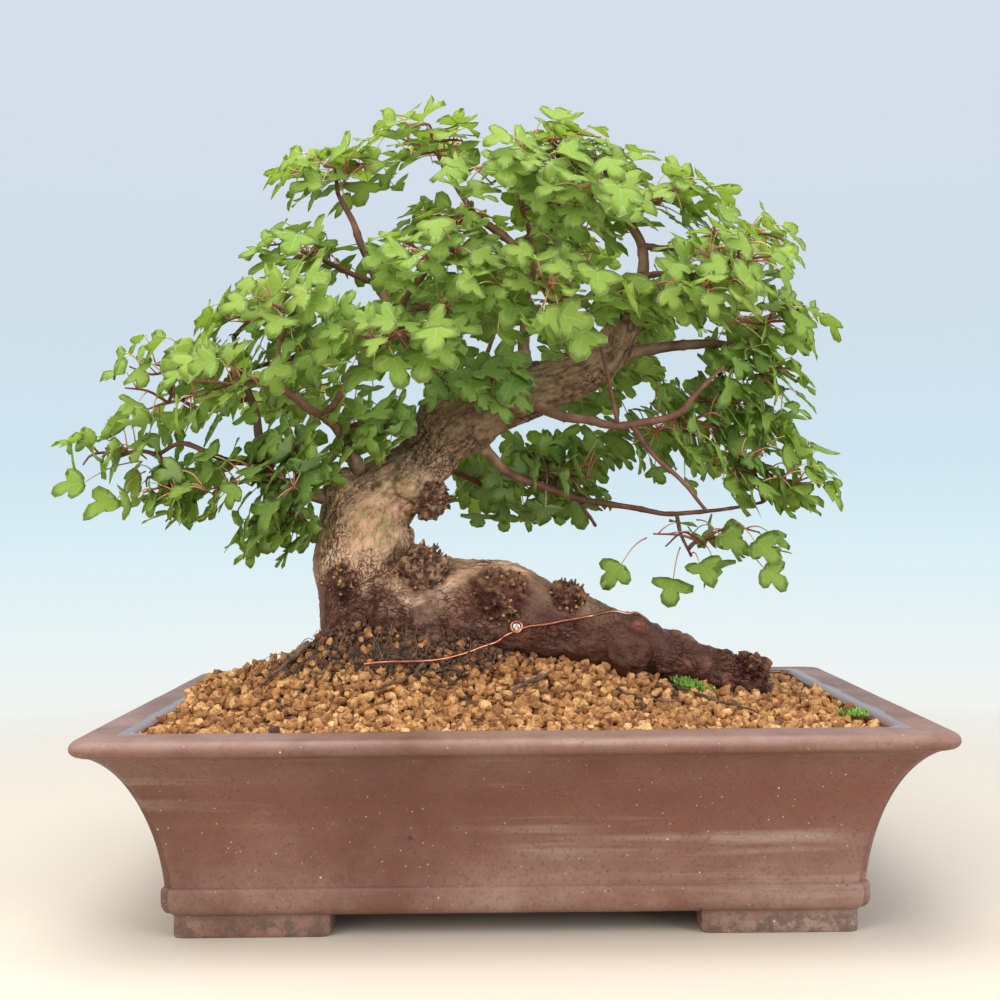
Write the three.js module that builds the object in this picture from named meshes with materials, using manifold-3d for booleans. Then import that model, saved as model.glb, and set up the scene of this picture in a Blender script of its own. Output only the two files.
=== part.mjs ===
// Bonsai maple in a rectangular stoneware pot. Millimetres, +X right, +Y away from the viewer, +Z up.
// Everything is laid out round the middle of the pot with z = 0 under its feet. The last step moves
// the whole group so that the origin is the middle of the bounding box at its bottom.
import * as THREE from "three";
import { mergeVertices } from "three/addons/utils/BufferGeometryUtils.js";
import Module from "manifold-3d";

const wasm = await Module();
wasm.setup();

// ---- driving dimensions ----

const GAP = 0.3; // clearance between pieces that touch

const POT_WIDTH = 450; // over the rim, along X
const POT_DEPTH = 337; // over the rim, along Y
const POT_HEIGHT = 110; // feet to the inner edge of the lip
const LIP_WIDTH = 29; // in plan, from the rim's edge to the opening
const FLOOR_THICKNESS = 8;
const FOOT_HEIGHT = 12;
const FOOT_LENGTH = 84; // along X
const FOOT_DEPTH = 62; // along Y
const FOOT_WALL = 17; // width of a foot's L-shaped leg
const FOOT_SET_IN = 44; // from the rim's edge
const NOTCH = 4.6; // the stepped-in corner of the body
const LIP_THICKNESS = 9; // of its rounded edge
const LIP_CORNER = 11; // radius of the rim's corners in plan
const DRAIN_HOLE = 22; // diameter
const DRAIN_SPACING = 170; // between the two holes

const SCREEN_SIZE = 38;
const SCREEN_THICKNESS = 1.2;
const SCREEN_MESH = 7; // opening of the mesh
const SCREEN_COUNT = 3; // openings along each side

const SOIL_DROP = 8; // soil at the walls, below the lip's inner edge
const MOUND_HEIGHT = 40; // of the soil at the foot of the trunk
const RIDGE_HEIGHT = 17; // of the soil along the exposed root

const WIRE_DIAMETER = 1.5;
const SCREW_HEAD = 5.4; // diameter
const SCREW_SHANK = 2.4; // diameter
const SCREW_LENGTH = 14;

const LEAF_LENGTH = 27;
const LEAF_WIDTH = 29;
const LEAF_THICKNESS = 0.9;
const PETIOLE_RADIUS = 0.7;
const SHOOT_RADIUS = 1.2;
const LEAVES_PER_SPRAY = 4;

// ---- materials ----

const material = (color, roughness, metalness = 0) =>
  new THREE.MeshStandardMaterial({ color, roughness, metalness });
const clay = material("#8a6055", 0.62);
const granules = material("#b4834f", 0.95);
const bark = material("#a98563", 0.85);
const twigBark = material("#7a5640", 0.75);
const foliage = material("#6e9b3f", 0.55);
const copper = material("#b5683f", 0.35, 1);
const steel = material("#b9b7b2", 0.35, 1);
const blackPlastic = material("#2b2b2b", 0.6);
const mossGreen = material("#5d7a2c", 0.95);

// ---- solids ----

// The closed body of a three.js geometry.
function solidOf(geometry) {
  const bare = new THREE.BufferGeometry();
  bare.setAttribute("position", geometry.getAttribute("position"));
  if (geometry.index) bare.setIndex(geometry.index);
  const merged = mergeVertices(bare, 1e-4);
  return new wasm.Manifold(
    new wasm.Mesh({
      numProp: 3,
      vertProperties: new Float32Array(merged.getAttribute("position").array),
      triVerts: new Uint32Array(merged.index.array),
    }),
  );
}

// A body through rings of equal count, closed at both ends by fans round each end ring's middle.
function loft(rings) {
  const count = rings[0].length;
  const positions = rings.flat().flatMap((v) => [v.x, v.y, v.z]);
  const index = [];
  for (let r = 0; r + 1 < rings.length; r++)
    for (let i = 0; i < count; i++) {
      const a = r * count + i;
      const b = r * count + ((i + 1) % count);
      index.push(a, b, b + count, a, b + count, a + count);
    }
  for (const end of [0, rings.length - 1]) {
    const middle = rings[end].reduce((sum, v) => sum.add(v), new THREE.Vector3()).divideScalar(count);
    positions.push(middle.x, middle.y, middle.z);
    const apex = positions.length / 3 - 1;
    for (let i = 0; i < count; i++) {
      const a = end * count + i;
      const b = end * count + ((i + 1) % count);
      if (end === 0) index.push(apex, b, a);
      else index.push(apex, a, b);
    }
  }
  const geometry = new THREE.BufferGeometry();
  geometry.setAttribute("position", new THREE.Float32BufferAttribute(positions, 3));
  geometry.setIndex(index);
  return solidOf(geometry);
}

// A tube along points [x, y, z, radius], smoothed by a Catmull-Rom curve with steps rings per stretch.
function tube(points, sides, steps = 2, extra = 0) {
  const curve = new THREE.CatmullRomCurve3(points.map(([x, y, z]) => new THREE.Vector3(x, y, z)));
  const count = (points.length - 1) * steps;
  const rings = [];
  let normal = null;
  for (let k = 0; k <= count; k++) {
    const t = k / count;
    const tangent = curve.getTangent(t);
    if (!normal) {
      normal = Math.abs(tangent.z) < 0.9 ? new THREE.Vector3(0, 0, 1) : new THREE.Vector3(0, 1, 0);
    }
    normal.addScaledVector(tangent, -normal.dot(tangent)).normalize();
    const side = new THREE.Vector3().crossVectors(tangent, normal);
    const at = Math.min(k / steps, points.length - 1.000001);
    const i = Math.floor(at);
    const radius = THREE.MathUtils.lerp(points[i][3], points[i + 1][3], at - i) + extra;
    const centre = curve.getPoint(t);
    rings.push(
      Array.from({ length: sides }, (_, s) => {
        const angle = (2 * Math.PI * s) / sides;
        return centre
          .clone()
          .addScaledVector(normal, radius * Math.cos(angle))
          .addScaledVector(side, radius * Math.sin(angle));
      }),
    );
  }
  return loft(rings);
}

function ball([x, y, z, radius], extra = 0) {
  return solidOf(new THREE.IcosahedronGeometry(radius + extra, 1).translate(x, y, z));
}

function cylinder(radius, length, sides = 20) {
  return solidOf(new THREE.CylinderGeometry(radius, radius, length, sides).rotateX(Math.PI / 2));
}

const box = (x, y, z) => solidOf(new THREE.BoxGeometry(x, y, z));
const joined = (solids) => solids.reduce((sum, solid) => sum.add(solid));

// The largest body of a cut solid.
function largest(solid) {
  return solid.decompose().reduce((best, body) => (body.volume() > best.volume() ? body : best));
}

// Small numbers in a fixed order, so that every run places the same leaves.
function seeded(seed) {
  let state = seed * 7919 + 17;
  return () => {
    state = (state * 1664525 + 1013904223) % 4294967296;
    return state / 4294967296;
  };
}

const root = new THREE.Group();
const placed = [];

// Adds a solid to the group as a named mesh, without the slivers that its joints left.
function add(name, solid, look, tolerance = 0.01) {
  const clean = solid.asOriginal().simplify(tolerance);
  const mesh = clean.getMesh();
  const geometry = new THREE.BufferGeometry();
  const vertices = new Float32Array(mesh.numVert * 3);
  for (let i = 0; i < mesh.numVert; i++) {
    const start = i * mesh.numProp;
    vertices.set(mesh.vertProperties.subarray(start, start + 3), i * 3);
  }
  geometry.setAttribute("position", new THREE.BufferAttribute(vertices, 3));
  geometry.setIndex(new THREE.BufferAttribute(mesh.triVerts, 1));
  geometry.computeVertexNormals();
  const piece = new THREE.Mesh(geometry, look);
  piece.name = name;
  root.add(piece);
  placed.push(clean);
  return piece;
}

// ---- pot ----

// A level section of the pot, set in from the rim's edge. Each corner is a small round where notched
// is 0 and a square step inwards where it is 1.
function potSection(setIn, z, corner, notched) {
  const a = POT_WIDTH / 2 - setIn;
  const b = POT_DEPTH / 2 - setIn;
  const k = THREE.MathUtils.lerp(0.3, 1, notched) * corner;
  const quarter = [
    [a, b - corner],
    [a - k, b - k],
    [a - corner, b],
  ];
  const flipped = quarter.map(([x, y]) => [-x, y]).reverse();
  const half = [...quarter, ...flipped];
  const whole = [...half, ...half.map(([x, y]) => [-x, -y])];
  return whole.map(([x, y]) => new THREE.Vector3(x, y, z));
}

const BAND_BOTTOM = FOOT_HEIGHT;
const BAND_TOP = FOOT_HEIGHT + 16;
const BODY_SET_IN = 40; // of the wall just above the base band
const LIP_EDGE = POT_HEIGHT - LIP_THICKNESS - 0.5; // lower edge of the lip
const BODY_RINGS = 9;

// The flared wall, from the band to under the lip, follows a cubic curve in set-in and height.
const flare = new THREE.CubicBezierCurve(
  new THREE.Vector2(BODY_SET_IN, BAND_TOP),
  new THREE.Vector2(36, BAND_TOP + (LIP_EDGE - BAND_TOP) * 0.46),
  new THREE.Vector2(24, LIP_EDGE - 8),
  new THREE.Vector2(6, LIP_EDGE),
);
const outerRings = [
  potSection(BODY_SET_IN + 2.5, BAND_BOTTOM, NOTCH, 1),
  potSection(BODY_SET_IN - 0.6, BAND_BOTTOM + 2.5, NOTCH, 1),
  potSection(BODY_SET_IN - 1.6, BAND_BOTTOM + 6, NOTCH, 1),
  potSection(BODY_SET_IN - 1.6, BAND_TOP - 3, NOTCH, 1),
  potSection(BODY_SET_IN - 0.6, BAND_TOP - 0.8, NOTCH, 1),
];
for (let i = 0; i <= BODY_RINGS; i++) {
  const { x: setIn, y: z } = flare.getPoint(i / BODY_RINGS);
  const rise = i / BODY_RINGS;
  outerRings.push(potSection(setIn, z, THREE.MathUtils.lerp(NOTCH, LIP_CORNER - 3, rise), 1 - rise));
}
outerRings.push(
  potSection(2.6, LIP_EDGE + 0.6, LIP_CORNER - 1, 0),
  potSection(0.7, LIP_EDGE + 2.4, LIP_CORNER, 0),
  potSection(0, LIP_EDGE + 4.6, LIP_CORNER, 0),
  potSection(0.7, LIP_EDGE + 6.8, LIP_CORNER, 0),
  potSection(2.6, POT_HEIGHT - 1.2, LIP_CORNER - 1, 0),
  potSection(6, POT_HEIGHT - 0.5, LIP_CORNER - 3, 0),
  potSection(LIP_WIDTH - 2.5, POT_HEIGHT, 7, 0),
  potSection(LIP_WIDTH + 6, POT_HEIGHT, 7, 0),
);

// The inside falls from the lip's rounded edge and keeps a wall of even thickness down to the floor.
const FLOOR_TOP = FOOT_HEIGHT + FLOOR_THICKNESS;
function innerRings(clearance, top) {
  const section = (setIn, z) => potSection(setIn + clearance, z, 7, 0);
  return [
    section(LIP_WIDTH + 22, FLOOR_TOP + clearance),
    section(LIP_WIDTH + 19, FLOOR_TOP + clearance + 6),
    section(LIP_WIDTH + 15, POT_HEIGHT - 56),
    section(LIP_WIDTH + 11, POT_HEIGHT - 44),
    section(LIP_WIDTH + 7, POT_HEIGHT - 33),
    section(LIP_WIDTH + 2.5, POT_HEIGHT - 20),
    section(LIP_WIDTH + 1, POT_HEIGHT - 6),
    section(LIP_WIDTH, POT_HEIGHT - 1.6),
    ...top.map(([setIn, z]) => section(setIn, z)),
  ];
}

// A foot: an L under one corner, with blunt ends.
function foot(signX, signY) {
  const x = POT_WIDTH / 2 - FOOT_SET_IN;
  const y = POT_DEPTH / 2 - FOOT_SET_IN;
  const blunt = 3;
  const outline = [
    [x - blunt, y],
    [x - FOOT_LENGTH + blunt, y],
    [x - FOOT_LENGTH, y - blunt],
    [x - FOOT_LENGTH, y - FOOT_WALL],
    [x - FOOT_WALL, y - FOOT_WALL],
    [x - FOOT_WALL, y - FOOT_DEPTH],
    [x - blunt, y - FOOT_DEPTH],
    [x, y - FOOT_DEPTH + blunt],
    [x, y - blunt],
  ];
  const shape = new THREE.Shape(outline.map(([px, py]) => new THREE.Vector2(px * signX, py * signY)));
  return solidOf(new THREE.ExtrudeGeometry(shape, { depth: FOOT_HEIGHT + 1, bevelEnabled: false }));
}

const drainCentres = [-DRAIN_SPACING / 2, DRAIN_SPACING / 2];
const outer = loft(outerRings);
const inner = loft(innerRings(0, [[LIP_WIDTH - 2.2, POT_HEIGHT + 0.01], [LIP_WIDTH - 2.2, POT_HEIGHT + 3]]));
const feet = joined([foot(1, 1), foot(-1, 1), foot(-1, -1), foot(1, -1)]);
const drains = joined(
  drainCentres.map((x) => cylinder(DRAIN_HOLE / 2, 4 * FLOOR_THICKNESS).translate([x, 0, FLOOR_TOP])),
);
add("pot", outer.subtract(inner).add(feet).subtract(drains), clay);

// ---- drain screens ----

const SCREEN_BOTTOM = FLOOR_TOP + GAP;
drainCentres.forEach((x, i) => {
  const pitch = SCREEN_SIZE / (SCREEN_COUNT + 0.5);
  const openings = [];
  for (let u = 0; u < SCREEN_COUNT; u++)
    for (let v = 0; v < SCREEN_COUNT; v++) {
      const at = (n) => (n - (SCREEN_COUNT - 1) / 2) * pitch;
      openings.push(box(SCREEN_MESH, SCREEN_MESH, 9).translate([at(u), at(v), 0]));
    }
  const sheet = box(SCREEN_SIZE, SCREEN_SIZE, SCREEN_THICKNESS).subtract(joined(openings));
  const side = i === 0 ? "left" : "right";
  add(`drain_screen_${side}`, sheet.translate([x, 0, SCREEN_BOTTOM + SCREEN_THICKNESS / 2]), blackPlastic);
});

// ---- trunk ----

// Places on the tree are given from the lip's inner edge, so that the tree rides with the pot's height.
const rise = ([x, y, z, r]) => [x, y, z + POT_HEIGHT, r];

const trunkPath = [
  [-88, 20, -14, 38],
  [-92, 20, 22, 42],
  [-95, 18, 58, 36],
  [-93, 15, 98, 31],
  [-84, 12, 124, 27],
  [-59, 10, 144, 24],
  [-32, 8, 165, 20.5],
  [4, 5, 184, 17.5],
  [41, 2, 196, 14],
  [62, 0, 209, 10.5],
  [73, 0, 232, 8],
].map(rise);
const bigRootPath = [
  [-78, 15, 50, 30],
  [-45, 12, 57, 28.5],
  [-8, 8, 54, 27.5],
  [29, 4, 41, 24],
  [65, 2, 30, 21],
  [102, 2, 17, 16],
  [128, 4, 10, 13],
  [148, 6, 1, 10.5],
  [160, 8, -12, 6],
].map(rise);
const rootFlares = [
  [[-108, 22, 44, 24], [-128, 26, 18, 16], [-142, 36, -2, 8]],
  [[-84, 36, 34, 22], [-76, 68, 14, 14], [-66, 94, -6, 7]],
  [[-98, 0, 38, 22], [-110, -22, 12, 14], [-120, -44, -6, 7]],
  [[-50, 0, 40, 20], [-42, -22, 18, 12], [-36, -40, -6, 7]],
].map((path) => path.map(rise));
const burls = [
  [-53, -12, 80, 13],
  [-7, -15, 65, 15],
  [34, -10, 62, 9],
  [-103, -13, 72, 8],
  [-94, 10, 132, 22],
  [-62, -6, 138, 13],
  [-44, 0, 122, 9],
  [150, -2, 14, 9],
].map(rise);
const deadStub = [[-112, 12, 110, 5], [-143, 8, 114, 4], [-156, 4, 106, 2.4], [-172, 0, 90, 1.4]].map(rise);

// All the trunk's wood, with every radius made larger by extra.
function wood(extra) {
  const whole = joined([
    tube(trunkPath, 12, 2, extra),
    tube(bigRootPath, 10, 2, extra),
    ...rootFlares.map((path) => tube(path, 8, 2, extra)),
    ...burls.map((burl) => ball(burl, extra)),
    tube(deadStub, 6, 1, extra),
  ]);
  return whole.asOriginal().simplify(GAP / 3);
}

// ---- screw ----

// Where a straight line first meets a solid.
const probe = new THREE.Raycaster();
function firstHit(solid, from, direction) {
  const mesh = solid.getMesh();
  const geometry = new THREE.BufferGeometry();
  geometry.setAttribute("position", new THREE.BufferAttribute(mesh.vertProperties, 3));
  geometry.setIndex(new THREE.BufferAttribute(mesh.triVerts, 1));
  probe.set(from, direction);
  const hits = probe.intersectObject(new THREE.Mesh(geometry, bark));
  return hits.length ? hits[0].point : null;
}

const trunkWhole = wood(0);
const VIEW = new THREE.Vector3(0, 1, 0);
const DOWN = new THREE.Vector3(0, 0, -1);
const screwPlace = rise([2, 0, 45, 0]);
const screwSeat = firstHit(trunkWhole, new THREE.Vector3(screwPlace[0], -400, screwPlace[2]), VIEW);
const HEAD_STAND_OFF = 2 * WIRE_DIAMETER + 4 * GAP; // the wire's turn lies between the head and the wood
const headBack = screwSeat.y - HEAD_STAND_OFF;
const headThickness = 1.9;
// Along its own +Z the screw runs from the head to the tip, then it is turned to point away from the viewer.
const screwProfile = [
  [0, -headThickness],
  [SCREW_HEAD * 0.28, -headThickness],
  [SCREW_HEAD * 0.44, -headThickness * 0.7],
  [SCREW_HEAD / 2, 0],
  [SCREW_SHANK / 2, 0],
  [SCREW_SHANK / 2, SCREW_LENGTH - 3],
  [0, SCREW_LENGTH],
];
const profilePoints = (grow) =>
  screwProfile.map(([radius, along]) => new THREE.Vector2(radius ? radius + grow : 0, along + Math.sign(along) * grow));
const screwSolid = (grow) => {
  const lathe = new THREE.LatheGeometry(profilePoints(grow), 12);
  const body = solidOf(lathe);
  const facing = body.volume() < 0 ? solidOf(lathe.scale(-1, 1, 1)) : body;
  return facing.translate([screwPlace[0], headBack, screwPlace[2]]);
};
const trunkSolid = largest(trunkWhole.subtract(screwSolid(GAP)));
add("wire_screw", screwSolid(0), steel);
add("trunk", trunkSolid, bark);

// ---- soil ----

const soilHeight = (x, y) => {
  const bump = (x0, y0, wide, deep) =>
    Math.exp(-((x - x0) ** 2) / (2 * wide ** 2) - (y - y0) ** 2 / (2 * deep ** 2));
  const mound = MOUND_HEIGHT * bump(-75, 15, 75, 60);
  const ridge = RIDGE_HEIGHT * bump(50, 5, 55, 45);
  const roll = 1.2 * Math.sin(x / 17 + y / 23) * Math.cos(y / 19);
  return POT_HEIGHT - SOIL_DROP + mound + ridge + roll;
};

// The soil fills the pot's inside and ends above in a mound, worked out on a grid.
function soilBody() {
  const across = 22;
  const along = 16;
  const rows = [];
  for (let j = 0; j <= along; j++) {
    const y = (j / along - 0.5) * POT_DEPTH;
    const row = [];
    for (let i = 0; i <= across; i++) {
      const x = (i / across - 0.5) * POT_WIDTH;
      row.push(new THREE.Vector3(x, y, soilHeight(x, y)));
    }
    rows.push(row);
  }
  // Each row of the grid becomes a ring that runs back underneath, and the rings are lofted along Y.
  const rings = rows.map((row) => {
    const under = [...row].reverse().map((v) => new THREE.Vector3(v.x, v.y, 0));
    return [...row, ...under];
  });
  const mound = loft(rings);
  const top = [[LIP_WIDTH, POT_HEIGHT + MOUND_HEIGHT + RIDGE_HEIGHT + 20]];
  const hollow = loft(innerRings(GAP, top));
  return mound.intersect(hollow);
}

const screenRoom = joined(
  drainCentres.map((x) => {
    const room = box(SCREEN_SIZE + 2 * GAP, SCREEN_SIZE + 2 * GAP, 2 * (SCREEN_THICKNESS + 2 * GAP));
    return room.translate([x, 0, FLOOR_TOP]);
  }),
);
const trunkRoom = wood(2 * GAP);
const soilSolid = largest(soilBody().subtract(trunkRoom).subtract(screenRoom)).asOriginal().simplify(GAP / 3);
add("soil", soilSolid, granules);

// ---- moss ----

// A flat cushion of moss that sits on the soil.
function mossPatch(x, y, radius) {
  const z = soilHeight(x, y);
  const cushion = solidOf(new THREE.IcosahedronGeometry(radius, 1).scale(1, 0.8, 0.35)).translate([x, y, z]);
  return largest(cushion.subtract(soilSolid.translate([0, 0, GAP])).subtract(trunkRoom));
}
const WALL_MOSS = [POT_WIDTH / 2 - LIP_WIDTH - 9, -POT_DEPTH / 2 + LIP_WIDTH + 45];
add("moss_by_root", mossPatch(104, -24, 12), mossGreen);
add("moss_by_wall", mossPatch(...WALL_MOSS, 6), mossGreen);

// ---- copper wire ----

// The wire lies on the wood and the soil where the first list gives x and z, makes a turn round the
// screw, and goes over the root where the last list gives x and y.
const ground = trunkSolid.add(soilSolid);
const wireRadius = WIRE_DIAMETER / 2;
const UNDER_TRUNK = 80; // a height above the lip that is over the root and under the leaning trunk
const lying = (x, z) => {
  const hit = firstHit(ground, new THREE.Vector3(x, -400, z + POT_HEIGHT), VIEW);
  return { at: new THREE.Vector3(x, hit.y - wireRadius, z + POT_HEIGHT), away: new THREE.Vector3(0, -1, 0) };
};
const draped = (x, y) => {
  const hit = firstHit(ground, new THREE.Vector3(x, y, POT_HEIGHT + UNDER_TRUNK), DOWN);
  return { at: new THREE.Vector3(x, y, hit.z + wireRadius), away: new THREE.Vector3(0, 0, 1) };
};

// Points spaced closely along a line of [a, b] pairs.
function closely(pairs, step = 5) {
  const line = new THREE.SplineCurve(pairs.map(([a, b]) => new THREE.Vector2(a, b)));
  const count = Math.ceil(line.getLength() / step);
  return line.getSpacedPoints(count).map((v) => [v.x, v.y]);
}

const leftRun = closely([[-86, 27.5], [-75, 28], [-51, 27.5], [-35, 29.5], [-20, 33.5], [-9, 38]]);
const rightRun = closely([[14, 47.5], [21, 47.5], [40, 50.5], [50, 52]]);
const overRun = closely([[60, -13], [68, -8], [75, -2], [82, 5], [87, 12]]);
const turnRadius = SCREW_SHANK / 2 + wireRadius + 2 * GAP;
const TURN_STEPS = 8;
const turns = Array.from({ length: TURN_STEPS + 1 }, (_, k) => {
  const angle = (2 * Math.PI * k) / TURN_STEPS - Math.PI / 2;
  const y = headBack + GAP + wireRadius + (WIRE_DIAMETER + GAP) * (1 - k / TURN_STEPS);
  const x = screwPlace[0] + turnRadius * Math.cos(angle);
  return { at: new THREE.Vector3(x, y, screwPlace[2] + turnRadius * Math.sin(angle)), away: null };
});
const wireRun = [
  ...leftRun.map(([x, z]) => lying(x, z)),
  ...turns,
  ...rightRun.map(([x, z]) => lying(x, z)),
  ...overRun.map(([x, y]) => draped(x, y)),
];
const stretchOf = (from, to) => tube([from, to].map((v) => [v.x, v.y, v.z, wireRadius + GAP / 3]), 7, 1);
// Each stretch that comes too near the wood or the soil is lifted off it a little at a time.
for (let i = 0; i + 1 < wireRun.length; i++) {
  const [from, to] = [wireRun[i], wireRun[i + 1]];
  for (let lift = 0; lift < 60 && stretchOf(from.at, to.at).minGap(ground, GAP) < GAP; lift++)
    for (const end of [from, to]) if (end.away) end.at.addScaledVector(end.away, GAP);
}
const wireTube = tube(wireRun.map(({ at }) => [at.x, at.y, at.z, wireRadius]), 7, 1);
add("copper_wire", wireTube, copper);

// ---- branches ----

// Each branch is a list of twigs, and each twig a list of [x, y, z, radius] from its base outwards.
const branches = {
  branch_left: [
    [[-104, 8, 120, 9], [-130, 0, 127, 6.4], [-146, -6, 138, 5.4], [-151, -8, 152, 4.8], [-154, -8, 172, 4.2],
      [-162, -6, 196, 3.4], [-168, -4, 222, 2.6]],
    [[-149, -7, 146, 4], [-172, -12, 146, 3], [-198, -12, 156, 2.4], [-214, -8, 150, 1.8]],
    [[-158, -7, 184, 3], [-182, -16, 176, 2.2], [-204, -20, 186, 1.6]],
  ],
  branch_left_back: [
    [[-98, 22, 124, 8], [-122, 42, 142, 5], [-142, 66, 160, 4], [-150, 88, 180, 2.4]],
    [[-122, 42, 142, 4], [-108, 72, 160, 3], [-96, 96, 186, 2]],
  ],
  branch_shoulder: [
    [[-92, 4, 138, 8], [-100, -14, 160, 5.6], [-111, -28, 171, 4.6], [-122, -42, 178, 4], [-134, -60, 188, 3],
      [-128, -78, 210, 2]],
    [[-111, -28, 171, 4], [-92, -52, 190, 3], [-74, -74, 206, 2]],
  ],
  branch_upper_left: [
    [[-40, 8, 174, 9], [-56, 6, 208, 6.4], [-68, 4, 227, 5.6], [-77, 2, 246, 5], [-84, 0, 263, 4.4],
      [-95, 0, 291, 3.4], [-104, 0, 310, 2.2]],
    [[-68, 4, 227, 4], [-60, -34, 240, 3], [-46, -70, 250, 2]],
    [[-80, 1, 254, 3.4], [-104, -22, 262, 2.6], [-122, -40, 268, 1.8]],
  ],
  branch_upper_centre: [
    [[16, 5, 184, 9], [9, 2, 220, 6.2], [12, 0, 250, 5.2], [4, 0, 277, 4.4], [-20, 0, 297, 3.4], [-38, 0, 324, 2]],
    [[11, 1, 244, 4], [16, -38, 262, 3], [8, -72, 284, 2]],
    [[5, 0, 274, 3.4], [24, 12, 300, 2.6], [30, 14, 322, 1.8]],
  ],
  branch_back_left: [
    [[-24, 14, 168, 9], [-36, 48, 194, 5.6], [-54, 78, 214, 4.2], [-76, 94, 230, 2.4]],
    [[-36, 48, 194, 4], [-18, 78, 212, 3], [-8, 104, 240, 2]],
  ],
  branch_back_right: [
    [[34, 8, 192, 9], [50, 42, 210, 5.8], [68, 70, 226, 4.4], [92, 88, 236, 2.6]],
    [[50, 42, 210, 4], [36, 76, 246, 3], [22, 100, 272, 2]],
  ],
  branch_upper_right: [
    [[73, 0, 226, 7.6], [82, 0, 256, 6.4], [81, 0, 280, 5], [72, 0, 298, 3.8], [64, -2, 314, 2.4]],
    [[81, 0, 276, 4], [112, -2, 274, 3], [138, -4, 268, 2.4], [156, -4, 262, 1.6]],
    [[82, 0, 258, 4], [90, -38, 252, 3], [104, -62, 246, 2]],
  ],
  branch_right: [
    [[62, 2, 208, 8], [94, 6, 214, 5.6], [124, 4, 216, 4.6], [150, 2, 210, 3.2], [168, 0, 196, 2]],
    [[124, 4, 216, 3.6], [136, 36, 190, 2.8], [128, 66, 164, 2]],
  ],
  branch_right_front: [
    [[12, -2, 182, 7], [30, -16, 172, 4.8], [46, -24, 167, 4.4], [64, -32, 164, 4], [80, -38, 165, 3.6],
      [98, -44, 169, 3.4], [106, -48, 177, 2.8], [114, -52, 186, 2.2], [124, -54, 196, 1.6]],
    [[72, -35, 164, 3], [86, -36, 145, 2.5], [101, -34, 130, 2.1], [117, -30, 112, 1.6]],
    [[64, -32, 165, 2.4], [58, -46, 190, 1.9], [50, -66, 214, 1.5]],
  ],
  branch_right_low: [
    [[-22, 14, 158, 8], [-3, 28, 140, 4.8], [16, 36, 131, 4.3], [43, 40, 122, 3.7], [65, 38, 117, 3.3],
      [87, 30, 113, 2.9], [105, 24, 111, 2.5], [140, 16, 114, 1.8], [158, 12, 118, 1.4]],
    [[105, 24, 111, 2.3], [108, 24, 98, 1.8], [114, 20, 84, 1.4]],
    [[43, 40, 122, 2.8], [50, 62, 114, 2.4], [58, 84, 104, 1.8]],
  ],
  branch_behind_crook: [
    [[-52, 22, 138, 7], [-44, 50, 142, 4], [-26, 74, 136, 3], [-2, 88, 120, 2]],
  ],
};
const TWIG_SIDES = 6;

const shoots = []; // every stretch of every twig with its branch, for the sprays to grow from
for (const [name, twigs] of Object.entries(branches)) {
  const raised = twigs.map((twig) => twig.map(rise));
  const whole = joined(raised.map((twig) => tube(twig, TWIG_SIDES, 1)));
  let body = whole.subtract(trunkRoom);
  for (const other of placed) if (body.minGap(other, GAP) < GAP) body = body.subtract(other);
  add(name, largest(body), twigBark, GAP / 3);
  const branch = placed.at(-1);
  for (const twig of raised)
    for (let i = 1; i + 1 < twig.length; i++) shoots.push([twig[i], twig[i + 1], branch]);
}

// ---- leaf sprays ----

// A three-lobed leaf lying along +X from its stalk, cupped upwards along its middle.
function leafBlade(size) {
  const half = LEAF_WIDTH / 2;
  const outline = [
    [0, 0],
    [0.42, -1],
    [0.5, -0.36],
    [0.97, -0.26],
    [0.97, 0.26],
    [0.5, 0.36],
    [0.42, 1],
  ].map(([x, y]) => new THREE.Vector3(x * LEAF_LENGTH, y * half, Math.abs(y) * 0.34 * half).multiplyScalar(size));
  const thickness = new THREE.Vector3(0, 0, LEAF_THICKNESS / 2);
  const count = outline.length;
  const positions = [
    ...outline.map((v) => v.clone().add(thickness)),
    ...outline.map((v) => v.clone().sub(thickness)),
  ].flatMap((v) => [v.x, v.y, v.z]);
  const index = [];
  for (let i = 0; i < count; i++) {
    const next = (i + 1) % count;
    if (i > 0 && next > 0) index.push(0, i, next, count, count + next, count + i);
    index.push(i, count + i, count + next, i, count + next, next);
  }
  const geometry = new THREE.BufferGeometry();
  geometry.setAttribute("position", new THREE.Float32BufferAttribute(positions, 3));
  geometry.setIndex(index);
  return solidOf(geometry);
}

// Where each spray's leaves gather, as [x, y, z].
const sprayCentres = [
  [-243, -6, 138], [-206, -8, 172], [-198, -16, 212], [-150, -10, 236], [-158, -22, 122], [-122, 0, 204],
  [-128, 0, 262], [-106, 4, 322], [-56, 0, 342], [-34, 4, 284], [8, 2, 347], [56, 0, 336], [36, 6, 282],
  [98, -2, 300], [146, 0, 280], [164, -2, 226], [92, -4, 236], [142, 6, 170], [168, 6, 130], [118, 22, 82],
  [-36, -4, 236], [-160, -74, 176], [-116, -92, 224], [-58, -98, 198], [-44, -92, 252], [16, -96, 232],
  [58, -92, 276], [2, -82, 304], [104, -84, 222], [136, -62, 250], [-150, 92, 196], [-84, 108, 240],
  [-14, 116, 262], [40, 112, 282], [100, 98, 244], [62, 100, 190], [8, 96, 128], [118, 84, 150],
].map(([x, y, z]) => new THREE.Vector3(x, y, z + POT_HEIGHT));

// The place nearest to a spray's middle on any twig, with that twig's radius there and its branch.
function growingPoint(centre) {
  let best = null;
  for (const [a, b, branch] of shoots) {
    const start = new THREE.Vector3(a[0], a[1], a[2]);
    const stretch = new THREE.Line3(start, new THREE.Vector3(b[0], b[1], b[2]));
    const t = stretch.closestPointToPointParameter(centre, true);
    const point = stretch.at(t, new THREE.Vector3());
    const distance = point.distanceTo(centre);
    const radius = THREE.MathUtils.lerp(a[3], b[3], t);
    if (!best || distance < best.distance) best = { point, distance, radius, branch };
  }
  return best;
}

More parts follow.
